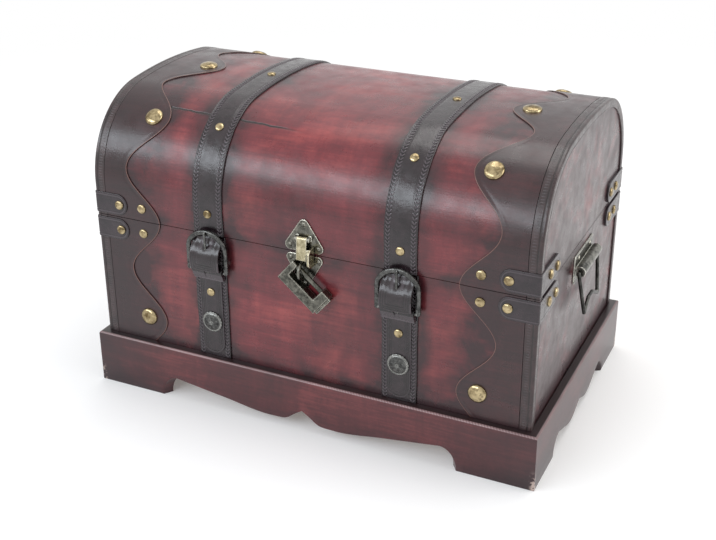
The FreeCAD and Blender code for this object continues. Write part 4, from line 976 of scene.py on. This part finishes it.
tail = dict(
    half=14.8, thick=1.8, edge=0.7, face=-142.75, rows=84, columns=49,
    knots=[(-130.7, 175.2), (-131.2, 172.0), (-133.2, 168.2), (-136.4, 164.6), (-138.8, 160.4),
           (-140.0, 155.5), (-140.1, 150), (-139.1, 144.5)],         # its middle line, in (y, z)
    foldDeep=0.85, foldAt=4.6, foldWide=1.7, foldZ=169.0, foldHigh=5.5,
    pull=1.1, pullZ=166.0, pullHigh=3.2, pullWide=2.2,
    pucker=0.225, puckerZ=168.5, puckerHigh=5.5, puckerFrom=3.0,
    crown=0.35, crownZ=160, sag=0.9, sagZ=151,
    lines=(2.3, 4.4, 6.5), lineDeep=0.34, lineWide=0.45, lineZ=162, lineTone=1.6, rubbedZ=155,
)
chape = dict(
    half=11.5, thick=1.6, tip=56.5, top=138.0, edge=0.5, base=1.7, sunk=0.2,
    lines=((1.9, 0.45, 0.5), (3.6, 0.4, 0.45), (5.3, 0.34, 0.45)),           # at, deep, wide
    foldHalf=15.5, foldFoot=133.5, footY=-134.0, flapSag=0.25, bandTop=140.8, backTop=3.2, lip=0.7,
    ring=3.26, slotRing=1.72, slotHalf=2.3, foldEdge=0.6,
)


def tailPart(centre):
    # leather end bulging over the heel bar: a sheet d(u, x) off its middle line, folded
    # beside the prong, puckered under the frame's arch and scored along its border
    t = tail
    path = smoothPath(t["knots"], t["rows"])
    along = np.gradient(path, axis=0)
    along /= np.linalg.norm(along, axis=1)[:, None]
    out = points(along[:, 1], -along[:, 0])[:, None]
    x = spread(t["half"], t["columns"])[None, :]
    z = path[:, 1:]
    border = np.minimum(t["half"] - np.abs(x), z - z[-1])
    rounded = np.sqrt(1 - (1 - np.clip(border / t["edge"], 0, 1)) ** 2)
    half = t["thick"] / 2 * np.maximum(rounded * np.clip((z[0] - z) / 1.5, 0.15, 1), 0.12)
    folds = -t["foldDeep"] * bell(z, t["foldZ"], t["foldHigh"]) * bell(np.abs(x), t["foldAt"], t["foldWide"])
    pull = -t["pull"] * bell(z, t["pullZ"], t["pullHigh"]) * bell(x, 0, t["pullWide"])
    puckers = (t["pucker"] * bell(z, t["puckerZ"], t["puckerHigh"]) * np.cos(x * 1.25 + 0.6)
               * (np.abs(x) > t["puckerFrom"]))
    crown = -t["crown"] * (x / t["half"]) ** 2 * np.clip((t["crownZ"] - z) / 10, 0, 1)
    lower = -t["sag"] * (x / t["half"]) ** 2 * np.clip((t["sagZ"] - z) / 6, 0, 1) ** 2
    scored = sum(bell(border, at, t["lineWide"]) for at in t["lines"]) * np.clip((t["lineZ"] - z) / 4, 0, 1)
    sheet = path[:, None, :] + out * (t["thick"] / 2 + folds + pull + puckers + crown)[..., None]
    front = sheet + out * (half - t["lineDeep"] * scored)[..., None]
    loops = np.hstack([front, (sheet - out * half[..., None])[:, ::-1]])
    across = np.hstack([x, x[:, ::-1]])
    lift = np.hstack([lower, lower[:, ::-1]])
    # lighter along the lower border, and in the fold dents as a painted highlight; the scored lines are
    # painted darker as painted shade
    rubbed = 0.8 * bell(border, 0.2, 0.9) * (z < t["rubbedZ"]) + 0.9 * (folds < -0.3)
    tone = np.hstack([rubbed - t["lineTone"] * scored, 0 * rubbed])
    return (*swept(points(centre + across, np.maximum(loops[..., 0], t["face"]), loops[..., 1] - lift)),
            tone.ravel())


def chapeStrip(centre):
    # lower strip: straight sides and a half-round tip, with rounded borders and scored lines
    # h = base + thick - drop - bells(border)
    c = chape
    d = np.hstack([c["half"] * (1 - np.cos(np.linspace(0.05, np.pi / 2, 22))),
                        np.linspace(c["half"], c["top"] - c["tip"], 60)[1:]])
    toRound = np.maximum(c["half"] - d, 0)
    half = np.sqrt(c["half"] ** 2 - toRound ** 2)
    x = spread(half[:, None], 51)
    border = np.maximum(c["half"] - np.hypot(x, toRound[:, None]), 0)
    h = c["base"] + c["thick"] - edgeDrop(border, c["edge"])
    # lighter at the rounded border; the scored lines are painted darker as painted shade
    tone = 0.6 * bell(border, 0, 0.7)
    for at, deep, wide in c["lines"]:
        h = h - deep * bell(border, at, wide)
        tone = tone - bell(border, at, wide)
    s = c["tip"] - chest["seam"] + d
    foot = [casePlace(s, centre + sign * half, c["base"] - c["sunk"])[:, None] for sign in (1, -1)]
    tone = np.hstack([tone, np.zeros((len(d), 2))])
    return (*swept(np.hstack([casePlace(s[:, None], centre + x, h)] + foot)), tone.ravel())


def chapeFold(centre):
    # wide fold round the heel bar: one closed outline in (y, z), carried across x; the
    # room for the prong's ring is a narrower waist of the outline
    c, axisY, axisZ = chape, buckle["axisY"], buckle["axisZ"]
    strapY, footY, footZ = wallY - chest["strapThick"] + 0.1, c["footY"], c["foldFoot"]
    x = spread(c["foldHalf"], 81)[:, None]
    ring = np.where(np.abs(x) < c["slotHalf"], c["slotRing"], c["ring"])
    turn = np.linspace(np.radians(176), np.radians(-6), 26)
    arcY, arcZ = axisY + ring * np.cos(turn), axisZ + ring * np.sin(turn)
    flap = np.linspace(0, 1, 17)[:-1]
    flapY = footY + (arcY[:, :1] - footY) * flap - c["flapSag"] * np.sin(np.pi * flap)
    flapZ = footZ + (arcZ[:, :1] - footZ) * flap
    backZ = np.linspace(axisZ - c["backTop"], footZ + 1.6, 8) + 0 * x
    lip = np.linspace(0, np.pi, 8)[1:-1] + 0 * x
    lipY = (footY + strapY) / 2 + (strapY - footY) / 2 * np.cos(lip)
    y = np.hstack([flapY, arcY, 0 * backZ + strapY, lipY])
    z = np.hstack([flapZ, arcZ, backZ, footZ + c["lip"] * (1 - np.sin(lip))])
    along = points(np.roll(y, -1, 1) - np.roll(y, 1, 1), np.roll(z, -1, 1) - np.roll(z, 1, 1))
    along /= np.linalg.norm(along, axis=-1, keepdims=True)
    shrink = edgeDrop(c["foldHalf"] - np.abs(x), c["foldEdge"])
    loops = points(centre + x, y + shrink * along[..., 1], z - shrink * along[..., 0])
    # the tone paints shadow on the fold above bandTop, under the tail's end, and paints the lower band
    # lighter, with a highlight at its lip: painted shadow and painted highlight
    front = y < footY + 0.3
    tone = (0.9 * front * bell(z, footZ + 0.6, 0.8) + 0.55 * front * (z < c["bandTop"])
            - 2.4 * (z > c["bandTop"] + 0.3))
    return (*swept(loops), tone.ravel())


strapCentres = [sign * chest["strapX"] for _, sign in sides]
makePiece("strap_tails", "leather", "case", "strap leather",
          [tailPart(centre) for centre in strapCentres], sharp=55)
makePiece("buckle_chapes", "leather", "case", "strap leather",
          [part(centre) for centre in strapCentres for part in (chapeStrip, chapeFold)], sharp=50)
print("leathers done")


plinth = dict(
    board=8.0, round=2.4, foot=0.7, notchHalf=24.0, curve=16.0,
    front=dict(half=220.0, foot=70.0, notch=20.5, sag=8.0, rise=21.0),
    side=dict(half=137.0, foot=55.0, notch=13.0, sag=5.5, rise=17.0),
)


def apronEdge(shape):
    # lower edge (a, z), mirrored: an ogee from the notch to the foot's quarter ellipse
    inner, curve, wide = shape["half"] - shape["foot"], plinth["curve"], plinth["notchHalf"]
    notch, sag, top = shape["notch"], shape["sag"], shape["rise"]
    low, end = wide * 1.25, inner - curve
    ogee = smoothPath([(0, notch), (wide * 0.3, (notch + sag) / 2 + 1.5), (wide * 0.7, sag + 1.2), (low, sag),
                       ((low + end) / 2, (sag + top) / 2 - 0.5), (end, top)], 60)
    turn = quarter(16)[1:]
    arc = points(end + curve * np.sin(turn), top * np.cos(turn))
    flat = points(np.linspace(inner, shape["half"], 10)[1:], 0.0)
    right = np.vstack([ogee, arc, flat])
    return np.vstack([right[:0:-1] * [-1, 1], right])


def boardPart(shape, place):
    # section (depth, z) at each step of the apron's edge, narrowed by depth for the mitres; the mask for the
    # painted highlight is 1 along the middle of the rounded upper edge
    edge = apronEdge(shape)
    a, low = edge[:, :1], edge[:, 1:]
    r, e, high = plinth["round"], plinth["foot"], chest["plinthHeight"]
    under = quarter(5) + 0 * low
    over = quarter(12) + 0 * low
    face = np.linspace(0, 1, 6)[1:-1] + 0 * low
    none = 0 * low
    depth = np.hstack([e * (1 - np.sin(under)), 0 * face, r * (1 - np.cos(over)),
                            none + plinth["board"], none + plinth["board"]])
    z = np.hstack([low + e * (1 - np.cos(under)), low + e + (high - r - low - e) * face,
                        high - r + r * np.sin(over), none + high, low])
    worn = np.hstack([0 * under, 0 * face, np.sin(2 * over), none, none])
    return swept(place(a * (shape["half"] - depth) / shape["half"], depth, z)), worn.ravel()


halfX, halfY = chest["plinthHalfX"], chest["plinthHalfY"]
for side, shape, place in (
        ("front", "front", lambda a, d, z: points(a, d - halfY, z)),
        ("back", "front", lambda a, d, z: points(a, halfY - d, z)),
        ("left", "side", lambda a, d, z: points(d - halfX, a, z)),
        ("right", "side", lambda a, d, z: points(halfX - d, a, z))):
    part, worn = boardPart(plinth[shape], place)
    makePiece("plinth_" + side + "_board", "wood", "case", "plinth paint", [part], sharp=50,
              values={"worn": worn})
print("plinth done")


studio = dict(
    floorSize=6.0, floorColour=0.86, floorGlow=0.16, fadeNear=0.55, fadeFar=1.5, skyStrength=0.62,
    # place, aim, size, power and colour of each lamp
    lamps=dict(softbox=((-1.15, -1.75, 1.25), (0, 0, 0.2), (2.6, 0.75), 30.0, (0.86, 0.93, 1.0)),
               overhead=((0.1, 0.45, 1.9), (0, 0, 0.2), (1.6, 1.2), 15.0, (1.0, 0.98, 0.96)),
               right=((1.9, 0.35, 0.75), (0.1, 0, 0.15), (1.3, 1.3), 17.0, (1.0, 0.985, 0.97))),
)
cameraLook = dict(
    sensor=36.0, lens=59.723, shiftY=-0.0503, near=0.05, place=(0.4388, -0.9443, 0.6075),
    right=(0.90507, 0.42525, -0.00446), up=(-0.17020, 0.37181, 0.91257), away=(0.38973, -0.82518, 0.40889),
)
white = (1.0, 1.0, 1.0)


def seenDirectly(kit):
    # 1 for rays from the camera and for those that mirrors and glass send on
    rays = kit.add("LightPath").outputs
    mirrored = kit.maths("MAXIMUM", rays["Is Camera Ray"], rays["Is Glossy Ray"])
    return kit.maths("MAXIMUM", mirrored, rays["Is Transmission Ray"])


def makeStage():
    # a floor that takes the chest's shadow and turns to plain white further out
    size = studio["floorSize"]
    mesh = bpy.data.meshes.new("studio_floor")
    mesh.from_pydata([(-size, -size, 0), (size, -size, 0), (size, size, 0), (-size, size, 0)], [],
                     [(0, 1, 2, 3)])
    floor = bpy.data.objects.new("studio_floor", mesh)
    scene.collection.objects.link(floor)
    kit = newKit("studio floor")
    kit.surface(colour=(studio["floorColour"],) * 3, roughness=0.9, specular=0.1, glowColour=white,
                glow=studio["floorGlow"])
    away = kit.add("VectorMath", {0: kit.place}, operation="LENGTH").outputs["Value"]
    fade = kit.span(away, studio["fadeNear"], studio["fadeFar"], kind="SMOOTHSTEP")
    glow = kit.add("Emission", {"Color": white, "Strength": 1.0}).outputs[0]
    both = kit.add("MixShader", {0: kit.times(fade, seenDirectly(kit)), 1: kit.shader.outputs[0], 2: glow})
    kit.give(kit.tree.nodes["Material Output"].inputs["Surface"], both.outputs[0])
    mesh.materials.append(looks["studio floor"])


def makeWorld():
    # an even sky for the light, and plain white where it is seen
    scene.world = bpy.data.worlds.new("studio sky")
    kit = NodeKit(scene.world, "Background")
    kit.give(kit.shader.inputs["Strength"], kit.span(seenDirectly(kit), 0.0, 1.0, studio["skyStrength"], 1.0))
    kit.give(kit.shader.inputs["Color"], white)


def makeLamp(name, place, aim, size, power, tint):
    data = bpy.data.lights.new(name, "AREA")
    data.shape = "RECTANGLE"
    data.size, data.size_y = size
    data.energy = power
    data.color = tint
    lamp = bpy.data.objects.new(name, data)
    scene.collection.objects.link(lamp)
    lamp.location = place
    lamp.rotation_euler = (Vector(aim) - Vector(place)).to_track_quat("-Z", "Y").to_euler()


def makeCamera():
    data = bpy.data.cameras.new("studio_camera")
    data.sensor_width = cameraLook["sensor"]
    data.lens = cameraLook["lens"]
    data.shift_y = cameraLook["shiftY"]
    data.clip_start = cameraLook["near"]
    camera = bpy.data.objects.new("studio_camera", data)
    scene.collection.objects.link(camera)
    matrix = Matrix([cameraLook[axis] for axis in ("right", "up", "away")]).transposed().to_4x4()
    matrix.translation = cameraLook["place"]
    camera.matrix_world = matrix
    scene.camera = camera


makeStage()
makeWorld()
for lampName, lampLook in studio["lamps"].items():
    makeLamp(lampName + "_lamp", *lampLook)
makeCamera()
scene.view_settings.view_transform = "Standard"
